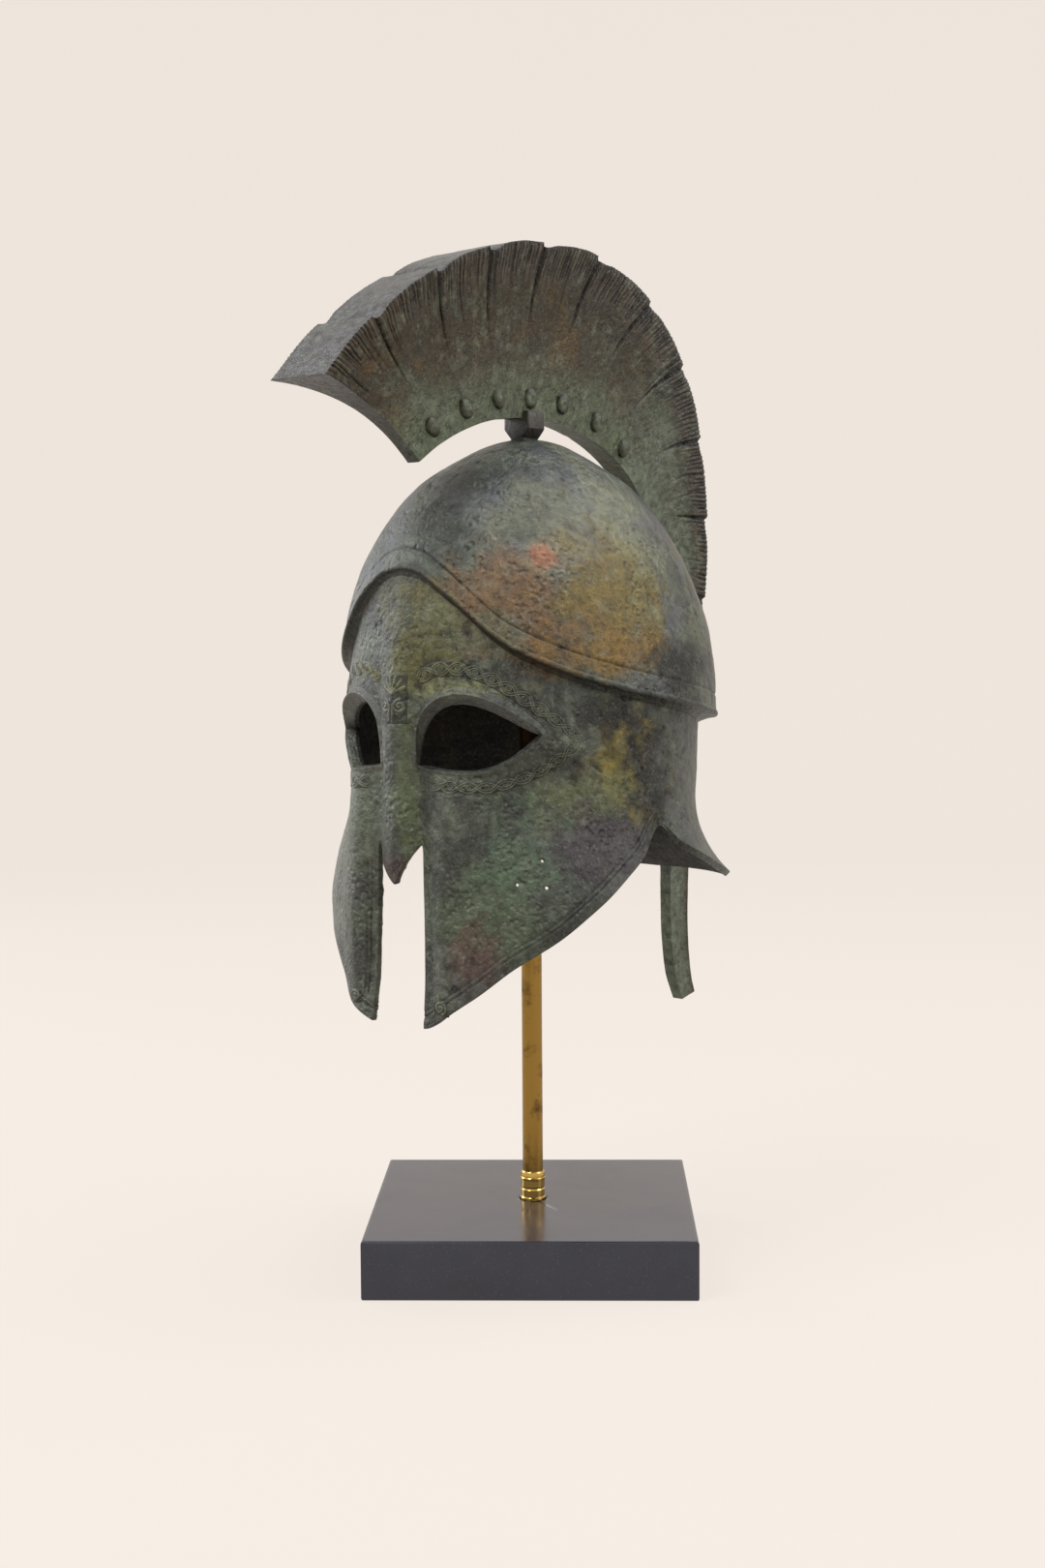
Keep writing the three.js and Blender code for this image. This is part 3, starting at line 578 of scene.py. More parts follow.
def turned_edge(points, normals, edges, start, round_off=0.45):
    """Points and faces of a strip that turns over the edges and runs through the wall."""
    way = points[edges[:, 1]] - points[edges[:, 0]]
    over = np.cross(way, normals[edges[:, 0]] + normals[edges[:, 1]])
    beyond = np.zeros_like(points)
    for k in (0, 1):
        np.add.at(beyond, edges[:, k], over)
    beyond /= np.maximum(np.linalg.norm(beyond, axis=1, keepdims=True), 1e-9)
    used, local = np.unique(edges, return_inverse=True)
    local = local.reshape(-1, 2)
    profile = [(0, 0), (0.55, 0.12), (0.9, 0.42), (1.0, 0.9)]  # out, down
    profile += [(1.0, WALL - 0.8), (0.8, WALL - 0.35), (0, WALL)]
    rows = [points[used] + beyond[used] * round_off * out - normals[used] * depth for out, depth in profile]
    fresh = np.concatenate(rows)
    a, b = local[:, 0], local[:, 1]
    count = len(used)
    strip = []
    for k in range(len(profile) - 1):
        p, q = a + k * count, b + k * count
        strip += [np.stack([q, p, p + count], -1), np.stack([q, p + count, q + count], -1)]
    return fresh, np.concatenate(strip) + start


face_out = normals_at(face_points, face_faces)
edges = open_edges(face_faces)
top_row = face_points[:, 2] > rim_line(bearing_of(face_points)) - LEDGE + 0.6
edges = edges[~(top_row[edges].all(1))]
strip_points, strip_faces = turned_edge(face_points, face_out, edges, len(face_points))
lining_points = face_points - face_out * WALL
print("turned edge:", len(strip_faces), "triangles round the slit, the eyes and the lower rim")


# %% [markdown]
# ## Patina
#
# The bronze was coloured with chemicals and heat, brushed on in patches, then waxed. So we paint
# as the foundry does: a dark ground first, then thin washes of green, ochre, rust and black, each
# laid where its mask is. The masks are soft spots with ragged borders, made from the same noise.

# %% Washes and their masks
def spot(points, bearing, z, spread_round, spread_up, seed, ragged=0.5):
    """Mask from 0 to 1 of a wash centred at a signed bearing and a height, with a ragged border."""
    turn = np.degrees(np.arctan2(points[:, 0], -points[:, 1]))
    round_way = (turn - bearing + 180) % 360 - 180
    reach = np.hypot(round_way * 1.6 / spread_round, (points[:, 2] - z) / spread_up)
    fray = lumps(points, 17, seed) + 0.6 * lumps(points, 6, seed + 50) + 0.3 * lumps(points, 2.5, seed)
    return ease(reach + ragged * fray, 1.25, 0.45)


def lay(colours, wash, mask):
    """Lays a wash of one sRGB colour over linear colours, as thick as its mask."""
    return colours + np.clip(mask, 0, 1)[:, None] * (linear(wash) - colours)


def mottle(points, size, seed, low=-0.1, high=0.5):
    return ease(lumps(points, size, seed) + 0.45 * lumps(points, size / 3, seed + 1), low, high)


print("ochre wash in linear numbers:", linear("#7a6133").round(3))

# %% Paint the helmet
def helmet_patina_and_painted_light(points, height):
    """Patina of the shell: grey-green ground, ochre and rust on the dome, purple-brown cheeks; pits partly
    patina and partly painted shade, high places a painted highlight.
    """
    colours = np.tile(linear("#454a41"), (len(points), 1))
    colours = lay(colours, "#5f6656", 0.7 * mottle(points, 22, 21))
    colours = lay(colours, "#2f302c", 0.75 * mottle(points, 15, 23))
    dome = ease(points[:, 2], rim_line(bearing_of(points)) - 4, rim_line(bearing_of(points)) + 2)
    colours = lay(colours, "#63666a", 0.5 * dome * mottle(points, 28, 25, -0.3, 0.5))
    for turn, z, broad, tall, wash, strength in WASHES:
        colours = lay(colours, wash, strength * spot(points, turn, z, broad, tall, int(abs(turn) + z)))
    colours = lay(colours, "#7d8473", 0.22 * mottle(points, 5, 27, 0.15, 0.9))
    colours = lay(colours, "#2b2a25", 0.35 * mottle(points, 4, 29, 0.2, 0.9))
    # pits darker, partly patina in them and partly painted shade; high places lighter as a painted highlight
    colours = lay(colours, "#1d1c19", 0.8 * ease(-height, 0.25, 0.75))
    return lay(colours, "#8a8f7c", 0.45 * ease(height, 0.25, 0.6))


WASHES = [  # signed bearing, height, spreads in mm, colour, strength
    (40, 352, 42, 30, "#6b5234", 0.85),
    (72, 350, 34, 40, "#6c5c22", 0.85),
    (50, 385, 34, 26, "#6e7058", 0.5),
    (88, 382, 30, 45, "#77795a", 0.6),
    (46, 368, 7, 6, "#9a5a3a", 0.6),
    (66, 320, 30, 14, "#7a5f2c", 0.75),
    (98, 316, 24, 14, "#17160f", 0.9),
    (8, 330, 26, 26, "#5f5c30", 0.75),
    (30, 330, 20, 12, "#5d6650", 0.5),
    (14, 340, 14, 12, "#6f7659", 0.4),
    (76, 268, 26, 28, "#857526", 0.85),
    (82, 264, 36, 40, "#12120c", 0.95),
    (66, 294, 20, 9, "#191913", 0.85),
    (60, 250, 30, 16, "#666a45", 0.6),
    (62, 224, 36, 20, "#3a3236", 0.8),
    (38, 222, 20, 26, "#4f6249", 0.7),
    (30, 190, 26, 20, "#5c6a52", 0.6),
    (24, 160, 24, 16, "#5f605c", 0.6),
    (5, 250, 8, 46, "#5f6a49", 0.7),
    (20, 304, 34, 5, "#7b7d58", 0.7),
    (26, 176, 10, 14, "#5e3f37", 0.55),
    (-52, 180, 40, 50, "#8a8d86", 0.6),
    (-2, 215, 12, 12, "#3d2c29", 0.9),
    (110, 250, 30, 40, "#5a5b57", 0.6),
    (-20, 240, 26, 60, "#626a58", 0.6),
    (-45, 200, 40, 36, "#6c6f68", 0.6),
    (-70, 250, 34, 34, "#6c6532", 0.6),
    (-60, 360, 50, 34, "#77683c", 0.7),
    (-95, 320, 30, 24, "#2b2a22", 0.7),
    (-120, 370, 46, 40, "#5f6b56", 0.6),
    (150, 350, 50, 40, "#66613a", 0.6),
    (-160, 330, 46, 40, "#6a5434", 0.6),
    (170, 240, 50, 26, "#4f5a49", 0.6),
    (-120, 225, 40, 18, "#2d2b25", 0.6),
]
print(len(WASHES), "washes")

# %% [markdown]
# ## Cast bronze
#
# Tin bronze, lost-wax cast, chemically coloured and waxed. The crust is a dull mineral that is
# only partly metal to the eye, so metallic stays at a half or less, and roughness swings between
# the waxed high places and the chalky pits. Three bumps sit on it: corrosion pits 2 to 3 mm apart,
# stains of about 4 mm, and a sand grain of about 0.8 mm, drawn twice its size so that it shows.

# %% The bronze material
def cast_bronze(name, pit_depth, grain_depth, sheen, metal):
    """Patinated bronze: painted colour, broken up by fine stains, with pits, grain and wax."""
    material, tree, shader = new_material(name)
    place_in = add_node(tree, "ShaderNodeTexCoord").outputs["Object"]
    # the colour at each point: patina, with painted shade and highlights where they were laid
    painted = add_node(tree, "ShaderNodeAttribute", attribute_name="patina_and_shade").outputs["Color"]
    stains = add_node(tree, "ShaderNodeTexNoise", {"Vector": place_in, "Scale": 260.0, "Detail": 6.0,
                                                   "Roughness": 0.62})  # blots of about 4 mm
    blot = add_node(tree, "ShaderNodeValToRGB", {"Fac": stains.outputs["Fac"]})
    blot.color_ramp.elements[0].position, blot.color_ramp.elements[1].position = 0.34, 0.68
    blot.color_ramp.elements[0].color = (*linear("#a9a69e"), 1)
    blot.color_ramp.elements[1].color = (*linear("#ffffff"), 1)
    broken = add_node(tree, "ShaderNodeMix", {0: 1.0, 6: painted, 7: blot.outputs["Color"]},
                      data_type="RGBA", blend_type="MULTIPLY")
    grains = add_node(tree, "ShaderNodeTexNoise", {"Vector": place_in, "Scale": 620.0, "Detail": 4.0,
                                                   "Roughness": 0.7})  # sand of about 1.6 mm
    lift = add_node(tree, "ShaderNodeMapRange", {"Value": grains.outputs["Fac"], 1: 0.55, 2: 0.75})
    thin = add_node(tree, "ShaderNodeMath", {0: lift.outputs[0], 1: 0.30}, operation="MULTIPLY")
    speckled = add_node(tree, "ShaderNodeMix", {0: thin.outputs[0], 6: broken.outputs[2],
                                                7: (*linear("#8f9482"), 1)}, data_type="RGBA")
    tree.links.new(speckled.outputs[2], shader.inputs["Base Color"])
    pits = add_node(tree, "ShaderNodeTexVoronoi", {"Vector": place_in, "Scale": 330.0,
                                                   "Randomness": 1.0}, feature="SMOOTH_F1")
    hole = add_node(tree, "ShaderNodeMapRange", {"Value": pits.outputs["Distance"], 1: 0.05, 2: 0.42})
    patchy = add_node(tree, "ShaderNodeTexNoise", {"Vector": place_in, "Scale": 45.0, "Detail": 2.0})
    where = add_node(tree, "ShaderNodeMapRange", {"Value": patchy.outputs["Fac"], 1: 0.42, 2: 0.62})
    depth = add_node(tree, "ShaderNodeMix", {0: where.outputs[0], 2: 1.0, 3: hole.outputs[0]})
    pitted = add_node(tree, "ShaderNodeBump", {"Strength": 1.0, "Distance": pit_depth / 1000,
                                               "Height": depth.outputs[0]})
    grained = add_node(tree, "ShaderNodeBump", {"Strength": 1.0, "Distance": grain_depth / 1000,
                                                "Height": grains.outputs["Fac"],
                                                "Normal": pitted.outputs["Normal"]})
    stained = add_node(tree, "ShaderNodeBump", {"Strength": 1.0, "Distance": grain_depth / 500,
                                                "Height": stains.outputs["Fac"],
                                                "Normal": grained.outputs["Normal"]})
    tree.links.new(stained.outputs["Normal"], shader.inputs["Normal"])
    wax = add_node(tree, "ShaderNodeMapRange", {"Value": stains.outputs["Fac"], 1: 0.35, 2: 0.7,
                                                3: sheen, 4: sheen + 0.24})
    tree.links.new(wax.outputs[0], shader.inputs["Roughness"])
    shader.inputs["Metallic"].default_value = metal
    return material


shell_bronze = cast_bronze("cast_bronze_patinated", 0.90, 0.50, 0.32, 0.5)
crest_bronze = cast_bronze("cast_bronze_combed", 0.40, 0.40, 0.30, 0.5)
lining_bronze = cast_bronze("cast_bronze_inside", 0.30, 0.30, 0.62, 0.2)
post_bronze = cast_bronze("cast_bronze_blackened", 0.25, 0.25, 0.42, 0.4)
print("bronzes:", shell_bronze.name, crest_bronze.name, lining_bronze.name, post_bronze.name)

# %% Make the face
face_all = np.concatenate([face_points, strip_points])
face_tris = np.concatenate([face_faces, strip_faces])
lines, _ = border_lines(face_points, face_points[:, 2] - lower_edge(bearing_of(face_points)))
face_colour = helmet_patina_and_painted_light(face_all, np.zeros(len(face_all)))
relief = np.concatenate([cast_surface(face_points) + lines, np.zeros(len(strip_points))])
# pits and incised lines darker, partly patina in them and partly painted shade; high places lighter as a
# painted highlight
face_colour = lay(face_colour, "#1c1b18", 0.85 * ease(-relief, 0.22, 0.6))
face_colour = lay(face_colour, "#878c7a", 0.35 * ease(relief, 0.22, 0.5))
make_piece("face_skin", face_all, face_tris, shell_bronze, ["helmet_shell"], "bronze", patina_and_shade=face_colour)

# %% [markdown]
# ## The dome
#
# The dome is drawn the same way, but it has no openings. It ends in a rolled lip with a chased
# groove above it, and turns under to meet the face.

# %% The dome's outer skin
DOME_COLUMNS, CROWN_ROWS, BAND_ROWS = 480, 84, 24
LIP = [(0.25, -0.5), (0.75, -1.2), (0.9, -2.0), (0.75, -2.8), (0.3, -3.4), (-0.6, -3.8)]  # out, down


def dome_grid():
    turn = np.linspace(-180, 180, DOME_COLUMNS, endpoint=False)
    bearing = np.abs(turn)
    rim = rim_line(bearing)
    crown = np.cos(np.linspace(0.006, 1, CROWN_ROWS, endpoint=False) * math.pi / 2)
    heights = [rim + 16 + (APEX - rim - 16) * share for share in crown]
    heights += [rim + 16 * (1 - k / BAND_ROWS) for k in range(BAND_ROWS + 1)]
    rows, above = [], []
    for z in heights:
        rows.append(place(dome_radius(bearing, z), turn, z))
        above.append(z - rim)
    skirt = dome_radius(bearing, rim)
    for out, down in LIP:
        rows.append(place(skirt + out, turn, rim + 1.6 + down))
        above.append(np.full(len(turn), down))
    start, end = skirt - 0.6, face_radius(bearing, rim - LEDGE + 1.0) - 0.5
    for share in (0.2, 0.4, 0.6, 0.8, 1.0):
        rows.append(place(start + (end - start) * share, turn, rim - 2.2 - (LEDGE - 3.2) * share**1.6))
        above.append(np.full(len(turn), -4.0 - 3 * share))
    return np.concatenate(rows), np.concatenate(above)


dome_points, above_rim = dome_grid()
dome_faces = rows_to_faces(len(dome_points) // DOME_COLUMNS, DOME_COLUMNS)
apex_ring = np.arange(DOME_COLUMNS)
apex = len(dome_points)
dome_points = np.concatenate([dome_points, [[0, 0, APEX]]])
above_rim = np.append(above_rim, 100.0)
cap = np.stack([np.full(DOME_COLUMNS, apex), apex_ring, (apex_ring + 1) % DOME_COLUMNS], -1)
dome_faces = np.concatenate([dome_faces, cap])
dome_out = normals_at(dome_points, dome_faces)
groove = 0.6 * incised(above_rim - 9.5, 1.3) * (above_rim > 0)
dome_height = cast_surface(dome_points) * ease(above_rim, -5, -1) + groove
dome_points = dome_points + dome_out * dome_height[:, None]
dome_colour = helmet_patina_and_painted_light(dome_points, dome_height)
# painted shade under the rolled lip and where it turns under to meet the face
dome_colour = lay(dome_colour, "#24231e", 0.75 * ease(above_rim, -1.5, -4))
make_piece("dome_skin", dome_points, dome_faces, shell_bronze, ["helmet_shell"], "bronze",
           patina_and_shade=dome_colour)

# %% The lining
LINING_COLUMNS = 200


def inner_radius(bearing, z):
    """Below the rim the hollow follows the face, and above it the hollow swells into the dome."""
    dome = dome_radius(bearing, z)
    share = ease(z - rim_line(bearing), 0, 16)
    return np.minimum(face_radius(bearing, z), dome) * (1 - share) + dome * share


def dome_lining():
    turn = np.linspace(-180, 180, LINING_COLUMNS, endpoint=False)
    bearing = np.abs(turn)
    rim = rim_line(bearing)
    rows = []
    for share in np.concatenate([np.cos(np.linspace(0.02, 1, 40) * math.pi / 2), [-0.04, -0.08]]):
        z = rim + (APEX - rim) * share if share >= 0 else rim + 105 * share
        rows.append(place(inner_radius(bearing, z), turn, z))
    points = np.concatenate(rows)
    faces = rows_to_faces(len(rows), LINING_COLUMNS)
    points = points - normals_at(points, faces) * WALL
    points = np.concatenate([points, [[0, 0, APEX - WALL]]])
    ring = np.arange(LINING_COLUMNS)
    cap = np.stack([np.full(LINING_COLUMNS, len(points) - 1), ring, (ring + 1) % LINING_COLUMNS], -1)
    return points, np.concatenate([faces, cap])


crown_points, crown_faces = dome_lining()
lining_all = np.concatenate([lining_points, crown_points])
lining_faces = np.concatenate([face_faces, crown_faces + len(lining_points)])[:, ::-1]
# painted shade: the inside of the shell is painted near black, with faint brown mottling
inside_shade = np.tile(linear("#1b1916"), (len(lining_all), 1))
inside_shade = lay(inside_shade, "#332c22", 0.7 * mottle(lining_all, 12, 31))
make_piece("shell_lining", lining_all, lining_faces, lining_bronze, ["helmet_shell"], "bronze", patina_and_shade=inside_shade)

# %% [markdown]
# ## The eyelids
#
# Round each eye runs a lid: a bevel that climbs out of the opening to a crisp line and drops to
# the face, broad over the brow and thin below. It is a short profile swept along the outline.

# %% Sweep the lids
def lid_mesh():
    edge = eye_outline(60)
    away, breadth, rise = lid_spread(edge)
    profile = [  # offset = a * breadth + b, height = c * rise + d
        (0, 0, 0, -6.6), (0, 0, 0, -5.1), (0, 0.1, 0, -4.6), (0, 0.35, 0, -4.2), (0.2, 0.3, 0.14, -3.4),
        (0.4, 0.22, 0.30, -2.6), (0.6, 0.14, 0.48, -1.75), (0.8, 0.05, 0.72, -0.9), (0.93, 0, 0.92, -0.25),
        (1, 0.05, 1, 0), (1, 0.45, 0.93, 0), (1.03, 0.9, 0.68, 0), (1.1, 1.4, 0.30, 0),
        (1.2, 1.9, 0.05, -0.05), (1.3, 2.5, 0, -0.5), (1.25, 1.6, 0, -2.6),
    ]
    rings = []
    for a, b, c, d in profile:
        flat = edge + away * (a * breadth + b)[:, None]
        rings.append(onto_face(flat[:, 0], flat[:, 1], c * rise + d))
    points = np.stack(rings, 1).reshape(-1, 3)  # along the outline, then round the profile
    faces = rows_to_faces(len(edge) + 1, len(profile))
    return points, faces % len(points), np.tile([row[2] + row[3] for row in profile], len(edge))


lid_points, lid_faces, lid_height = lid_mesh()
for side, word in ((1, "left"), (-1, "right")):
    points = lid_points * (side, 1, 1)
    faces = lid_faces if side < 0 else lid_faces[:, ::-1]
    dents = 0.4 * cast_surface(points)
    points = points + normals_at(points, faces) * dents[:, None]
    colour = helmet_patina_and_painted_light(points, dents)
    colour = lay(colour, "#55564f", 0.6 * np.ones(len(points)))
    # painted shade on the bevel that runs down into the eye opening
    colour = lay(colour, "#191815", 0.9 * ease(lid_height, -3.6, -5.0))
    make_piece(f"lid_{word}", points, faces, shell_bronze, ["helmet_shell"], "bronze", patina_and_shade=colour)

# %% [markdown]
# ## Scrolls
#
# Above and below each eye runs a band of interlaced waves with an eye in every loop, between two
# lines. It was modelled in the wax, so it is soft relief, under a millimetre high. We lay a fine
# strip on the face, raise it by a height that we work out from the pattern, and sink its borders.

# %% Lay a relief patch
def relief_patch(name, flat, columns, surface, relief, border):
    """A fine patch on the face: relief is its height, and its border sinks out of sight."""
    rows = len(flat) // columns
    sunk = 0.8 * ease(border, 1.0, 0.0)
    first = surface(flat, np.zeros(len(flat)))
    points = surface(flat, 0.20 + relief + 0.6 * cast_surface(first) - sunk)
    faces = rows_to_faces(rows, columns, round_trip=False)
    colour = helmet_patina_and_painted_light(points, np.zeros(len(points)))
    # low places between the lines darker, partly patina and partly painted shade; raised lines lighter as a
    # painted highlight
    colour = lay(colour, "#22231d", 0.8 * ease(relief, 0.10, -0.12))
    colour = lay(colour, "#7f8368", 0.55 * ease(relief, 0.15, 0.42))
    for side, word in ((1, "left"), (-1, "right")):
        if side < 0 and abs(flat[:, 0].mean()) < 1 and surface is on_bearing:
            break  # it lies on the middle of the face, so it is its own mirror image
        made = points * (side, 1, 1)
        outward = (normals_at(made, faces) * made * (1, 1, 0)).sum() > 0
        make_piece(f"{name}_{word}", made, faces if outward else faces[:, ::-1], shell_bronze,
                   ["helmet_shell"], "bronze", sharp=80, patina_and_shade=colour)


def on_eye_plane(flat, height):
    return onto_face(flat[:, 0], flat[:, 1], height)


def on_bearing(flat, height):
    """Flat is millimetres round the face from the nose, at a radius of 97 mm, and the height."""
    turn = np.degrees(flat[:, 0] / MEAN_RADIUS)
    return place(face_radius(np.abs(turn), flat[:, 1]) + height, turn, flat[:, 1])


# %% The bands of waves
WAVE = 9.0  # length of one loop
BAND_COLUMNS, FINE_STEP = 34, 0.35  # points across a band, and mm between points of a square patch
BANDS = {  # centre line on the eye's plane, and half the breadth along it
    "scroll_above": ([(-42, 308.6), (-36, 311.8), (-29.4, 313.6), (-19.6, 313.6), (-7.3, 310.2), (5, 303.7),
                      (20.1, 293.4), (30, 286.0), (38.5, 279.6)], (4.9, 3.6)),
    "scroll_below": ([(37.5, 277.6), (32, 273.0), (23, 266.6), (10, 260.2), (-7.4, 256.2), (-22, 256.4),
                      (-34, 257.6)], (3.8, 4.4)),
}


def wave_relief(t, w, half):
    """Two double-lined waves that cross between the loops, with a ring and a dot in each loop."""
    swing = 0.52 * half
    phase = math.pi * t / WAVE
    steep = np.hypot(1, swing * math.pi / WAVE * np.cos(phase))
    height = np.zeros(len(t))
    for sign in (1, -1):
        off = np.abs(w - sign * swing * np.sin(phase)) / steep
        height = np.maximum(height, np.exp(-(((off - 0.55) / 0.34) ** 2)))
    middle = (np.floor(t / WAVE) + 0.5) * WAVE
    out = np.hypot(t - middle, w)
    ring = np.maximum(np.exp(-(((out - 1.15) / 0.32) ** 2)), np.exp(-((out / 0.42) ** 2)))
    height = np.where(out < 1.7, ring, height)
    edge = np.abs(w) - (half - 0.75)
    return 0.52 * height - 0.12 - 0.5 * np.exp(-((edge / 0.42) ** 2)) + 0.18 * ease(edge, 0.3, 0.7)


for name, (centre, (half_start, half_end)) in BANDS.items():
    centre = np.array(centre)
    reach = np.concatenate([[0], np.cumsum(np.hypot(*np.diff(centre, axis=0).T))])
    t = np.linspace(0, reach[-1], int(reach[-1] / 0.34))
    middle = np.stack([along(reach, centre[:, k], t) for k in (0, 1)], -1)
    way = np.gradient(middle, axis=0)
    way /= np.linalg.norm(way, axis=1, keepdims=True)
    half = half_start + (half_end - half_start) * ease(t / reach[-1], 0.6, 1.0)
    across_share = np.linspace(-1, 1, BAND_COLUMNS)
    w = half[:, None] * across_share
    flat = middle[:, None] + w[..., None] * np.stack([-way[:, 1], way[:, 0]], -1)[:, None]
    flat, w, t_all = flat.reshape(-1, 2), w.ravel(), np.repeat(t, BAND_COLUMNS)
    half_all = np.repeat(half, BAND_COLUMNS)
    border = np.minimum(half_all - np.abs(w), np.minimum(t_all, reach[-1] - t_all))
    relief_patch(name, flat, BAND_COLUMNS, on_eye_plane, wave_relief(t_all, w, half_all), border)

# %% Scrolls on the forehead and the cheek points
def spiral(u, z, radius, turns, start, hand):
    """A line that winds in towards (u, z)."""
    angle = start + hand * np.linspace(0, 2 * math.pi * turns, 36)
    r = np.linspace(radius, 0.4, 36)
    return np.stack([u + r * np.cos(angle), z + r * np.sin(angle)], -1)


def drawn_relief(flat, lines, width, height):
    """Soft ridges that follow lines drawn on the patch."""
    near = np.full(len(flat), 9.0)
    for line in lines:
        for a, b in zip(line[:-1], line[1:]):
            way = b - a
            t = np.clip(((flat - a) @ way) / (way @ way + 1e-9), 0, 1)
            near = np.minimum(near, np.linalg.norm(flat - a - t[:, None] * way, axis=1))
    return height * np.exp(-((near / width) ** 2)) - 0.1


def square_patch(name, low, high, lines):
    u, z = np.meshgrid(*(np.arange(low[k], high[k], FINE_STEP) for k in (0, 1)))
    flat = np.stack([u.ravel(), z.ravel()], -1)
    border = np.minimum(np.minimum(flat - np.array(low), np.array(high) - FINE_STEP - flat).min(1), 3.0)
    relief_patch(name, flat, u.shape[1], on_bearing, drawn_relief(flat, lines, 0.55, 0.5), border)


petals = [np.array([(0, 301.5), (7.4 * math.sin(a), 301.5 + 8.5 * math.cos(a))]) for a in
          np.radians([-66, -40, -14, 14, 40, 66])]
stem = [np.array([(-1.0, 288), (-1.0, 296)]), np.array([(1.0, 288), (1.0, 296)])]
curls = [spiral(side * 4.6, 295.5, 3.4, 1.6, math.pi / 2, side) for side in (1, -1)]
square_patch("forehead_palmette", (-9.5, 286), (9.5, 312), petals + stem + curls)
square_patch("cheek_scroll", (23.6, 144.6), (32.6, 153.4), [spiral(28.0, 149.0, 3.3, 1.7, -1.2, 1)])

# %% [markdown]
# ## The crest
#
# A Greek crest was horsehair, set in a ridge and trimmed to a flat edge. Here it is cast: locks
# of hair side by side, each starting with a notch, with strands combed into the flare. The same
# table of stations as the solid's gives the form; strands and locks are pushed into it.

# %% Stations of the crest
CREST = np.array([  # root y, z; edge y, z; half width at the root and the edge; sweep of the hair
    (-85, 415, -161, 450, 4, 20, 15), (-72, 423.5, -137, 474, 4.2, 20, 9),
    (-51, 433.5, -95, 502.5, 4.5, 20, 0), (-30, 439.5, -58, 519.5, 4.8, 20, 0),
    (-8, 441.7, -19, 529, 5, 20, -2), (14, 440.8, 22, 530.5, 5.3, 19.5, -6),
    (39, 435.5, 68.5, 517.5, 6, 18.5, -12), (61, 426, 102, 491, 6.5, 17.5, -16),
    (79, 412, 124, 456, 6.5, 16, -16), (92, 393, 135, 415, 6.3, 14.5, -12),
    (103, 366, 140, 371, 5.8, 12, -7), (110, 332, 140, 328, 5.2, 9, -3),
    (112.5, 289, 136, 284, 4.6, 6.5, 0), (114, 244, 134, 241, 4, 5, 0),
    (114.5, 202, 132, 200, 3.7, 4, 0), (115, 169, 131.5, 167, 3.7, 3.7, 0),
    (118.5, 140, 134, 136, 3.7, 3.7, 0), (126, 121, 138, 124, 3.3, 3.3, 0),
])
FLARE_POWER = 2.9
LOCK_FIRST, LOCK_SPACING, LOCK_COUNT, LOCK_NOTCH = 1.2, 1.03, 10, 2.4


def crest_form(s, share, trim=0.0):
    """Half width, y and z at station s, from the root (share 0) to the hair's edge (share 1)."""
    root_y, root_z, edge_y, edge_z, root_half, edge_half, sweep = (
        along(np.arange(len(CREST)), CREST[:, k], s) for k in range(7)
    )
    length = np.hypot(edge_y - root_y, edge_z - root_z)
    out_y, out_z = (edge_y - root_y) / length, (edge_z - root_z) / length
    reach, bow = share * (length - trim), sweep * 2 * share * (1 - share)
    half = root_half + (edge_half - root_half) * share**FLARE_POWER
    return half, root_y + out_y * reach + out_z * bow, root_z + out_z * reach - out_y * bow


fine = np.linspace(0, len(CREST) - 1, 4000)
_, edge_y, edge_z = crest_form(fine, np.ones_like(fine))
edge_run = np.concatenate([[0], np.cumsum(np.hypot(np.diff(edge_y), np.diff(edge_z)))])
print("the hair's edge is", round(float(edge_run[-1])), "mm long")

# %% Strands and locks
CREST_SECTIONS = 1240
run = np.linspace(0, edge_run[-1], CREST_SECTIONS)
station = np.interp(run, edge_run, fine)
dice = np.random.default_rng(41)
strand_at = np.cumsum(dice.uniform(1.7, 3.1, 400))
strand_at = strand_at[strand_at < edge_run[-1]]
strand_deep = dice.uniform(0.3, 0.8, len(strand_at))
strand_long = dice.uniform(0.14, 0.34, len(strand_at)) + (dice.random(len(strand_at)) < 0.12) * 0.25
lock_station = LOCK_FIRST + LOCK_SPACING * np.arange(LOCK_COUNT)
lock_at = np.interp(lock_station, fine, edge_run)


def lock_trim(s):
    """How far the edge is cut back: most just after a lock starts, nothing at its end."""
    lock = np.floor((s - LOCK_FIRST) / LOCK_SPACING)
    share = (s - LOCK_FIRST) / LOCK_SPACING - lock
    shape = along([0, 0.02, 0.08, 0.25, 0.62, 1], [0, 0.9, 1, 0.35, 0, 0], share)
    return LOCK_NOTCH * shape * ((lock >= 0) & (s < lock_station[-1] + LOCK_SPACING))


def hair_depth(distance_along, share, s):
    """How deep the strands and the lines between locks are cut, in mm."""
    depth = np.zeros(len(distance_along))
    fade_tail = ease(s, 12.6, 10.8)
    order = np.clip(np.searchsorted(strand_at, distance_along), 1, len(strand_at) - 1)
    for pick in (order - 1, order):
        wander = 0.5 * np.sin(share * 9 + pick)
        line = np.exp(-(((distance_along + wander - strand_at[pick]) / 0.55) ** 2))
        reach = ease(share, 1 - strand_long[pick], 1 - 0.35 * strand_long[pick])
        depth = np.maximum(depth, line * strand_deep[pick] * reach * fade_tail)
    for k, at in enumerate(lock_at):
        bend = (6 + k) * (1 - share) ** 2
        line = np.exp(-(((distance_along - at - 0.6 + bend) / 0.7) ** 2))
        reach = ease(share, 0.42 + 0.12 * math.sin(3.1 * k), 0.72)
        depth = np.maximum(depth, 1.3 * line * reach)
    return depth


print(len(strand_at), "strands in", LOCK_COUNT, "locks")

# %% The crest's skin
SIDE_ROWS, TOP_ROWS = 30, 8
SIDE_SHARES = 1 - (1 - np.linspace(0, 1, SIDE_ROWS)) ** 1.25
TOP_ACROSS = np.linspace(1, -1, TOP_ROWS + 2)[1:-1]


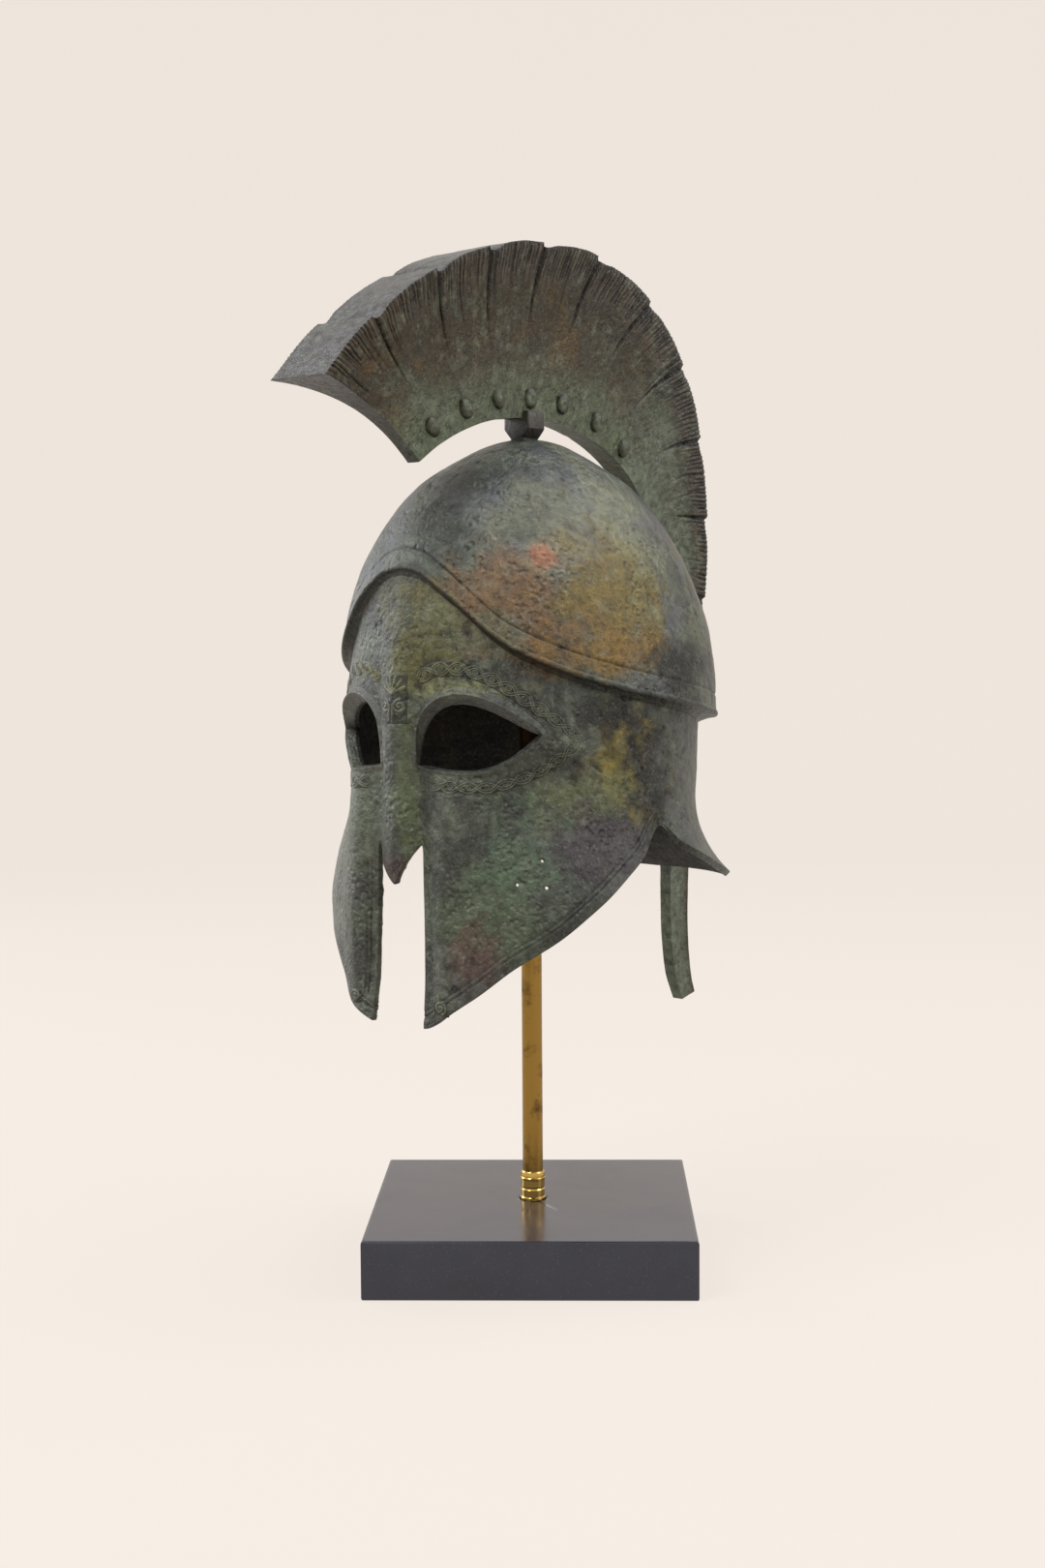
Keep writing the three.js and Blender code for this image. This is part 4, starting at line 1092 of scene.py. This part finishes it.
def crest_skin():
    """Rings round the crest: up the left side, across the trimmed edge, down the right, under."""
    shares = np.concatenate([SIDE_SHARES, np.ones(TOP_ROWS), SIDE_SHARES[::-1], np.zeros(2)])
    sides = np.concatenate([np.ones(SIDE_ROWS), TOP_ACROSS, -np.ones(SIDE_ROWS), [-0.33, 0.33]])
    s, share = np.repeat(station, len(shares)), np.tile(shares, CREST_SECTIONS)
    side, distance_along = np.tile(sides, CREST_SECTIONS), np.repeat(run, len(shares))
    trim = lock_trim(s)
    half, y, z = crest_form(s, share, trim)
    on_side = np.abs(side) == 1
    cut = hair_depth(distance_along, share, s) * on_side
    round_edge = 0.9 * ease(share, 0.965, 1.0) * on_side
    notch = np.zeros(len(s))
    for at in lock_at:
        notch = np.maximum(notch, 0.9 * np.exp(-(((distance_along - at - 0.6) / 0.8) ** 2)))
    x = side * np.maximum(half - cut - round_edge, 1.0)
    points = np.stack([x, y, z], -1)
    drop = np.where((share == 1) & ~on_side, notch, 0.0)
    points[:, 2] -= drop * 0.7
    return points, share, cut, s


crest_points, hair_share, hair_cut, hair_station = crest_skin()
ring = len(crest_points) // CREST_SECTIONS
crest_faces = rows_to_faces(CREST_SECTIONS, ring)
root_end = 2 * SIDE_ROWS + TOP_ROWS - 1  # a ring's last point down the right side
ends = []
for start, turn in ((0, False), (len(crest_points) - ring, True)):
    for k in range(SIDE_ROWS - 1):
        quad = [start + k, start + k + 1, start + root_end - 1 - k, start + root_end - k]
        a, b, c, d = quad[::-1] if turn else quad
        ends += [[a, b, c], [a, c, d]]
    fan = [start + SIDE_ROWS - 1 + k for k in range(TOP_ROWS + 2)]
    for k in range(1, TOP_ROWS + 1):
        ends.append([fan[0], fan[k], fan[k + 1]] if not turn else [fan[0], fan[k + 1], fan[k]])
    low = [start + root_end, start + root_end + 1, start + root_end + 2, start]
    ends += [[low[0], low[1], low[2]], [low[0], low[2], low[3]]] if not turn else [
        [low[2], low[1], low[0]], [low[3], low[2], low[0]]]
crest_faces = np.concatenate([crest_faces, np.array(ends)])
if volume(crest_points, crest_faces) < 0:
    crest_faces = crest_faces[:, ::-1]
crest_dents = 0.6 * cast_surface(crest_points * (1, 0.6, 0.6))
crest_points = crest_points + normals_at(crest_points, crest_faces) * crest_dents[:, None]

# %% Paint and make the crest
def crest_patina_and_painted_light(points, share, cut, s):
    """Blackened flare, rust-brown sides in front, green at the root and towards the tail; a painted sheen on
    the top, painted highlights between strands, cuts partly patina and partly painted shade.
    """
    colours = np.tile(linear("#3a301a"), (len(points), 1))
    colours = lay(colours, "#57421f", 0.75 * mottle(points, 24, 61) * ease(s, 9, 3))
    colours = lay(colours, "#3b3a2c", 0.7 * mottle(points, 14, 63))
    green = ease(share + 0.10 * lumps(points, 20, 64), 0.5, 0.12)
    colours = lay(colours, "#566047", 0.8 * green)
    to_tail = 0.75 * ease(s + lumps(points, 30, 65), 6.5, 9.5)
    colours = lay(colours, "#667060", to_tail * ease(share, 0.95, 0.6))
    dark = ease(share + 0.07 * lumps(points, 9, 66), 0.66, 0.86)
    colours = lay(colours, "#2a2520", 0.85 * dark * ease(s, 14, 12) * (0.55 + 0.45 * ease(s, 1.5, 5)))
    # painted highlight on the ridges between strands near the edge
    colours = lay(colours, "#6e6656", 0.5 * ease(share, 0.72, 0.9) * ease(cut, 0.10, 0.0) * ease(s, 13, 11))
    # painted sheen: the trimmed top edge is painted grey-blue where the light from above falls on it
    top = ease(share, 0.992, 0.999)
    colours = lay(colours, "#5b5f63", 0.75 * top)
    front = ease(s, 0.06, 0.0)
    colours = lay(colours, "#33322f", 0.8 * front)
    colours = lay(colours, "#77806c", 0.3 * mottle(points, 5, 67, 0.2, 0.7))
    colours = lay(colours, "#211f1b", 0.5 * mottle(points, 4, 69, 0.25, 0.75))
    # deeper cuts darker, partly patina in them and partly painted shade
    return lay(colours, "#12110f", 0.8 * ease(cut, 0.2, 0.9))


crest_colour = crest_patina_and_painted_light(crest_points, hair_share, hair_cut, hair_station)
make_piece("crest_skin", crest_points, crest_faces, crest_bronze, ["crest"], "bronze_crest", sharp=50,
           patina_and_shade=crest_colour)

# %% [markdown]
# ## Bosses and post
#
# Seven oval bosses on each side stand for the pins that would hold the hair. A dark forked block
# carries the crest on the crown.

# %% Bosses
BOSS_COUNT, BOSS_RINGS, BOSS_TURNS = 7, 9, 28


def dome_boss(centre, way, rise, long, wide, side):
    """A domed oval on the crest's side, with a flat skirt where it meets the bronze."""
    rings = []
    for tilt in np.linspace(0, 1, BOSS_RINGS):
        angle = np.linspace(0, 2 * math.pi, BOSS_TURNS, endpoint=False)
        r = math.sin(tilt * math.pi / 2) if tilt < 1 else 1.04
        h = rise * math.cos(tilt * math.pi / 2) ** 0.8 if tilt < 1 else -1.2
        flat = np.stack([r * wide * np.cos(angle), r * long * np.sin(angle)], -1)
        y = centre[1] + flat[:, 0] * way[1] + flat[:, 1] * way[0]
        z = centre[2] - flat[:, 0] * way[0] + flat[:, 1] * way[1]
        rings.append(np.stack([np.full(BOSS_TURNS, centre[0] + side * h), y, z], -1))
    return np.concatenate(rings)


boss_points, boss_faces = [], []
boss_grid = rows_to_faces(BOSS_RINGS, BOSS_TURNS)
for k in range(BOSS_COUNT):
    s = np.array([1.15 + 1.03 * k] * 2)
    half, y, z = crest_form(s, np.array([0.12, 0.22]))
    way = np.array([y[1] - y[0], z[1] - z[0]])
    way /= np.hypot(*way)
    for side in (1, -1):
        centre = (side * half[0], y[0], z[0])
        boss = dome_boss(centre, way, 3.0, 5.4, 4.0, side)
        probe = normals_at(boss, boss_grid)[5 * BOSS_TURNS, 0] * side > 0
        boss_faces.append((boss_grid if probe else boss_grid[:, ::-1]) + len(boss) * len(boss_points))
        boss_points.append(boss)
boss_points, boss_faces = np.concatenate(boss_points), np.concatenate(boss_faces)
boss_points += 0.35 * normals_at(boss_points, boss_faces) * lumps(boss_points, 3, 71)[:, None]
boss_colour = np.tile(linear("#4c5040"), (len(boss_points), 1))
boss_colour = lay(boss_colour, "#6f7a63", 0.6 * mottle(boss_points, 5, 72))
boss_height = np.repeat(np.linspace(0, 1, BOSS_RINGS), BOSS_TURNS)
boss_height = np.tile(boss_height, 2 * BOSS_COUNT)
# painted shade round the foot of each boss, where it meets the crest
boss_colour = lay(boss_colour, "#15140f", 0.85 * ease(boss_height, 0.86, 1.0))
make_piece("crest_bosses", boss_points, boss_faces, crest_bronze, ["crest"], "bronze_crest",
           patina_and_shade=boss_colour)

# %% The forked post
def loft(outlines):
    """Closed solid through outlines with the same number of points, with flat ends."""
    count = len(outlines[0])
    points = np.concatenate(outlines)
    faces = rows_to_faces(len(outlines), count)
    for start, turn in ((0, False), (len(points) - count, True)):
        fan = np.array([[start, start + k, start + k + 1] for k in range(1, count - 1)])
        faces = np.concatenate([faces, fan[:, ::-1] if turn else fan])
    return points, faces if volume(points, faces) > 0 else faces[:, ::-1]


def rounded_rectangle(half_x, half_y, corner, z, y=0.0, steps=5):
    """Corner points of a level rectangle with rounded corners."""
    points = []
    for quarter in range(4):
        for angle in np.radians(np.linspace(90 * quarter, 90 * quarter + 90, steps)):
            sign_x, sign_y = ((1, 1), (-1, 1), (-1, -1), (1, -1))[quarter]
            points.append((sign_x * (half_x - corner) + corner * math.cos(angle),
                           y + sign_y * (half_y - corner) + corner * math.sin(angle), z))
    return np.array(points)


def box_mm(node):
    """Lowest and highest corner of a CAD node, in millimetres."""
    return [np.array(corner) * 1000 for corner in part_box(node)]


post_low, post_high = box_mm("crest_post")
post_half_x = (post_high[0] - post_low[0]) / 2
post_half_y, post_y = (post_high[1] - post_low[1]) / 2, (post_high[1] + post_low[1]) / 2
post_rows = [(4.4, -2.0, 0.4), (4.4, 0.3, 0.6), (5.2, 1.4, 0.8), (8.0, 4.4, 0.9), (post_half_x, 5.2, 1.0),
             (post_half_x, 12.6, 1.0), (post_half_x - 0.3, 13.6, 1.0), (post_half_x - 1.2, 14.1, 0.8)]
post_points, post_faces = loft([
    rounded_rectangle(half, post_half_y - (0.0 if 1 < k < 6 else 0.5), corner, APEX + up, post_y)
    for k, (half, up, corner) in enumerate(post_rows)
])
post_colour = np.tile(linear("#2a2723"), (len(post_points), 1))
post_colour = lay(post_colour, "#55524a", 0.6 * ease(post_points[:, 2], APEX + 4, APEX + 7))
make_piece("post_casting", post_points, post_faces, post_bronze, ["crest_post"], "bronze_dark", sharp=35,
           patina_and_shade=post_colour)

# %% [markdown]
# ## The stand
#
# The rod is drawn brass bar, the ferrule is turned brass, and the base is a sawn and honed block
# of dark marble. Turned parts are a profile spun round the rod's axis.

# %% Spin a profile
def spin(profile, turns=96):
    """Rings of a profile of (radius, height) pairs spun round the upright axis."""
    angle = np.linspace(0, 2 * math.pi, turns, endpoint=False)
    return [np.stack([r * np.cos(angle), r * np.sin(angle), np.full(turns, z)], -1) for r, z in profile]


rod_low, rod_high = box_mm("rod")
rod_radius, rod_top = rod_high[0], rod_high[2]
base_top = box_mm("base")[1][2]
SHADE_START = 200.0  # the rod is bright below this height, and painted shade darkens it inside the helmet
below = [(rod_radius - 0.4, rod_low[2]), (rod_radius, rod_low[2] + 0.4)]
below += [(rod_radius, z) for z in np.linspace(rod_low[2] + 2, SHADE_START, 30)]
within = [(rod_radius, z) for z in np.linspace(SHADE_START, rod_top - 3.2, 30)]
within += [(rod_radius * math.cos(a), rod_top - 3.2 + 3.1 * math.sin(a)) for a in np.linspace(0.25, 1.4, 6)]
print("rod is", round(2 * rod_radius, 1), "mm thick and ends", round(rod_top, 1), "mm up")

# %% [markdown]
# ## Brass
#
# Drawn brass bar keeps fine lines along its length and tarnishes brown in blotches where hands
# and wax have been. The turned ferrule was polished later, so it is brighter, with fine rings.

# %% The brass material
def brass(name, clean, tarnish, tarnish_share, rough, line_scale, line_depth):
    """Metal brass under patches of tarnish, with tool lines stretched by line_scale."""
    material, tree, shader = new_material(name)
    place_in = add_node(tree, "ShaderNodeTexCoord").outputs["Object"]
    blots = add_node(tree, "ShaderNodeTexNoise", {"Vector": place_in, "Scale": 110.0, "Detail": 5.0,
                                                  "Roughness": 0.6})  # blots of about 9 mm
    cover = add_node(tree, "ShaderNodeMapRange", {"Value": blots.outputs["Fac"], 1: 0.62 - tarnish_share,
                                                  2: 0.82 - tarnish_share})
    colour = add_node(tree, "ShaderNodeMix", {0: cover.outputs[0], 6: (*linear(clean), 1),
                                              7: (*linear(tarnish), 1)}, data_type="RGBA")
    tree.links.new(colour.outputs[2], shader.inputs["Base Color"])
    stretched = add_node(tree, "ShaderNodeMapping", {"Vector": place_in, "Scale": line_scale})
    lines = add_node(tree, "ShaderNodeTexNoise", {"Vector": stretched.outputs[0], "Scale": 1.0,
                                                  "Detail": 3.0})
    worn = add_node(tree, "ShaderNodeMath", {0: cover.outputs[0], 1: 0.16, 2: rough},
                    operation="MULTIPLY_ADD")
    streak = add_node(tree, "ShaderNodeMath", {0: lines.outputs["Fac"], 1: 0.10, 2: worn.outputs[0]},
                      operation="MULTIPLY_ADD")
    tree.links.new(streak.outputs[0], shader.inputs["Roughness"])
    ridged = add_node(tree, "ShaderNodeBump", {"Strength": 1.0, "Distance": line_depth / 1000,
                                               "Height": lines.outputs["Fac"]})
    tree.links.new(ridged.outputs["Normal"], shader.inputs["Normal"])
    shader.inputs["Metallic"].default_value = 1.0
    return material


# lines 0.5 mm apart round the rod, drawn coarser than the real 0.1 mm so that they show
rod_brass = brass("drawn_brass_aged", "#937439", "#5d4526", 0.10, 0.26, (2000.0, 2000.0, 12.0), 0.03)
ferrule_brass = brass("turned_brass_polished", "#c9a75c", "#7d6236", -0.02, 0.16, (60.0, 60.0, 1600.0), 0.03)
# a darker copy of the rod's brass: painted shade for the part inside the helmet
shaded_brass = brass("drawn_brass_shaded", "#3a2a1a", "#1d1612", 0.20, 0.5, (2000.0, 2000.0, 12.0), 0.03)
make_piece("rod_bar", *loft(spin(below)), rod_brass, ["rod"], "brass", sharp=50)
make_piece("rod_inside", *loft(spin(within)), shaded_brass, ["rod"], "brass", sharp=50)

ferrule_low, ferrule_high = box_mm("ferrule")
foot, head, wide = ferrule_low[2], ferrule_high[2], ferrule_high[0]
ferrule_profile = [
    (rod_radius + 0.05, foot), (wide - 0.2, foot), (wide, foot + 0.2), (wide, foot + 1.9),
    (wide - 0.25, foot + 2.2), (wide - 0.55, foot + 2.5), (wide - 0.5, foot + 6.1),
    (wide - 0.75, foot + 6.5), (wide - 0.9, foot + 6.9), (wide - 0.75, foot + 7.3),
    (wide - 0.5, foot + 7.7), (wide - 0.5, foot + 11.2), (wide - 0.25, foot + 11.5),
    (wide - 0.2, foot + 12.4), (wide - 0.5, foot + 12.8), (wide - 0.6, head - 1.0),
    (wide - 0.75, head - 0.4), (wide - 1.1, head), (rod_radius + 0.05, head),
]
ferrule_points, ferrule_faces = loft(spin(ferrule_profile))
make_piece("ferrule_ring", ferrule_points, ferrule_faces, ferrule_brass, ["ferrule"], "brass", sharp=30)

# %% [markdown]
# ## Dark marble
#
# The block is a fine-grained black marble, honed but not polished: a soft sheen that mirrors the
# room at a low angle, faint cloudy veins, and sides that keep the saw's slanting scratches.

# %% The marble material
def honed_marble(name):
    material, tree, shader = new_material(name)
    place_in = add_node(tree, "ShaderNodeTexCoord").outputs["Object"]
    clouds = add_node(tree, "ShaderNodeTexNoise", {"Vector": place_in, "Scale": 26.0, "Detail": 7.0,
                                                   "Roughness": 0.6, "Distortion": 0.8})  # clouds of 40 mm
    tone = add_node(tree, "ShaderNodeMix", {0: clouds.outputs["Fac"], 6: (*linear("#191a22"), 1),
                                            7: (*linear("#2b2d38"), 1)}, data_type="RGBA")
    grain = add_node(tree, "ShaderNodeTexNoise", {"Vector": place_in, "Scale": 900.0, "Detail": 2.0})
    salt = add_node(tree, "ShaderNodeMapRange", {"Value": grain.outputs["Fac"], 1: 0.6, 2: 0.8, 4: 0.35})
    salted = add_node(tree, "ShaderNodeMix", {0: salt.outputs[0], 6: tone.outputs[2],
                                              7: (*linear("#50525c"), 1)}, data_type="RGBA")
    tree.links.new(salted.outputs[2], shader.inputs["Base Color"])
    slant = add_node(tree, "ShaderNodeMapping", {"Vector": place_in, "Rotation": (0.3, 0.5, 0.9),
                                                 "Scale": (30.0, 30.0, 1500.0)})
    scratches = add_node(tree, "ShaderNodeTexNoise", {"Vector": slant.outputs[0], "Scale": 1.0,
                                                      "Detail": 4.0})
    rough = add_node(tree, "ShaderNodeMapRange", {"Value": clouds.outputs["Fac"], 1: 0.3, 2: 0.7,
                                                  3: 0.15, 4: 0.25})
    tree.links.new(rough.outputs[0], shader.inputs["Roughness"])
    scored = add_node(tree, "ShaderNodeBump", {"Strength": 0.5, "Distance": 0.00004,
                                               "Height": scratches.outputs["Fac"]})
    tree.links.new(scored.outputs["Normal"], shader.inputs["Normal"])
    return material


marble = honed_marble("black_marble_honed")
print("stone:", marble.name)

# %% The block with its socket
BASE_TURN, BASE_SIDE, BASE_EDGE = 40.5, 168.0, 1.2
SIDE_POINTS = 40
RING_POINTS = 4 * SIDE_POINTS


def square_ring(half, z):
    """Points round a square, starting at the middle of a side, turned with the block."""
    t = np.linspace(-1, 1, SIDE_POINTS, endpoint=False)
    side = np.stack([np.full(SIDE_POINTS, half), t * half], -1)
    rings = [side @ np.array([[math.cos(q), math.sin(q)], [-math.sin(q), math.cos(q)]])
             for q in np.arange(4) * math.pi / 2]
    flat = np.concatenate(rings)
    q = math.radians(BASE_TURN)
    flat = flat @ np.array([[math.cos(q), math.sin(q)], [-math.sin(q), math.cos(q)]])
    return np.concatenate([flat, np.full((len(flat), 1), z)], 1)


def socket_ring(radius, z):
    """A round ring whose points face those of the square ring."""
    flat = square_ring(1.0, 0)[:, :2]
    flat = flat / np.linalg.norm(flat, axis=1, keepdims=True) * radius
    return np.concatenate([flat, np.full((len(flat), 1), z)], 1)


half = BASE_SIDE / 2
block_rings = [socket_ring(radius, base_top - down) for radius, down in [
    (rod_radius + 0.3, 20), (rod_radius + 0.3, 1.3), (rod_radius + 0.5, 1.2), (7.2, 1.2), (7.4, 1.0),
    (7.45, 0.2), (7.9, 0), (9.5, 0), (30, 0),
]]
block_rings += [square_ring(reach, z) for reach, z in [
    (60, base_top), (half - BASE_EDGE - 1, base_top), (half - BASE_EDGE, base_top),
    (half - 0.45, base_top - 0.3), (half - 0.1, base_top - 0.8), (half, base_top - 1.5),
    (half, 1.5), (half - 0.35, 0.35), (half - 1.4, 0.0),
]]
block_points = np.concatenate(block_rings)
nick = np.hypot(block_points[:, 0] - 6.6, block_points[:, 1] + 5.2) < 2.6
block_points[:, 2] -= 0.5 * (nick & (block_points[:, 2] > base_top - 0.3))
block_grid = rows_to_faces(len(block_rings), RING_POINTS)
last_ring = len(block_points) - RING_POINTS
under = np.array([[last_ring, last_ring + k, last_ring + k + 1] for k in range(1, RING_POINTS - 1)])
block_faces = np.concatenate([block_grid, under[:, ::-1]])
if normals_at(block_points, block_faces)[9 * RING_POINTS, 2] < 0:
    block_faces = block_faces[:, ::-1]
make_piece("base_block", block_points, block_faces, marble, ["base"], "black_marble", sharp=25)

# %% [markdown]
# ## The room
#
# A pale sweep surrounds the object: a floor that curves up into a round wall, so that every view
# has the same plain backdrop. Most of its brightness is its own glow over a dark paint, because a
# pale paint would light itself up inside the closed sweep. The main light is a soft panel in front
# and above; three more fill the right side, the left side and the top of the crest.

# %% Backdrop
def sweep(name, colour, paint, glow):
    material, tree, shader = new_material(name)
    shader.inputs["Base Color"].default_value = (*linear(paint), 1)
    shader.inputs["Roughness"].default_value = 0.9
    shader.inputs["Specular IOR Level"].default_value = 0.0
    shader.inputs["Emission Color"].default_value = (*linear(colour), 1)
    shader.inputs["Emission Strength"].default_value = glow
    profile = [(0.001, 0), (0.5, 0), (1.2, 0), (2.2, 0)]
    bend = np.linspace(0.1, math.pi / 2, 12)
    profile += [(2.2 + 0.8 * math.sin(a), 0.8 - 0.8 * math.cos(a)) for a in bend]
    profile += [(3.0, 2.0), (3.0, 4.0)]
    points = np.concatenate(spin(profile, 96))
    faces = rows_to_faces(len(profile), 96)
    mesh = bpy.data.meshes.new(name)
    mesh.from_pydata(points.tolist(), [], faces.tolist())
    mesh.polygons.foreach_set("use_smooth", np.ones(len(mesh.polygons), bool))
    floor = bpy.data.objects.new(name, mesh)
    bpy.context.scene.collection.objects.link(floor)
    mesh.materials.append(material)
    print(name, "has", len(faces), "triangles")


sweep("pale_sweep", "#f7eee5", "#4e4b48", 0.83)

# %% Lights
PANEL_COLOUR, AIM_HEIGHT = "#eef2ff", 0.33
PANELS = {  # bearing from the nose, height, distance and size in metres, power in watts
    "key": (-8, 1.7, 1.2, 0.9, 34), "fill": (112, 1.1, 1.6, 0.9, 17),
    "left": (-78, 0.8, 1.6, 0.8, 14), "top": (150, 2.0, 0.7, 0.9, 22),
}


def panel(name, bearing, height, distance, size, power):
    """A square soft light, placed by its bearing from the nose, that looks at the helmet."""
    light = bpy.data.lights.new(name, "AREA")
    light.shape, light.size, light.energy = "SQUARE", size, power
    light.color = linear(PANEL_COLOUR)
    lamp = bpy.data.objects.new(name, light)
    angle = math.radians(bearing)
    spot_at = np.array([distance * math.sin(angle), -distance * math.cos(angle), height])
    toward = np.array([0, 0, AIM_HEIGHT]) - spot_at
    toward /= np.linalg.norm(toward)
    side = np.cross(toward, (0, 0, 1))
    side /= np.linalg.norm(side)
    top = np.cross(side, toward)
    lamp.matrix_world = facing(side, top, toward, spot_at)
    bpy.context.scene.collection.objects.link(lamp)


for name, row in PANELS.items():
    panel(name, *row)

world = bpy.data.worlds.new("room")
world.use_nodes = True
world.node_tree.nodes["Background"].inputs["Color"].default_value = (*linear("#f7eee5"), 1)
world.node_tree.nodes["Background"].inputs["Strength"].default_value = 0.8
bpy.context.scene.world = world
bpy.context.scene.view_settings.view_transform = "Standard"  # screen colours stay as written
print("four panels and a pale sweep")
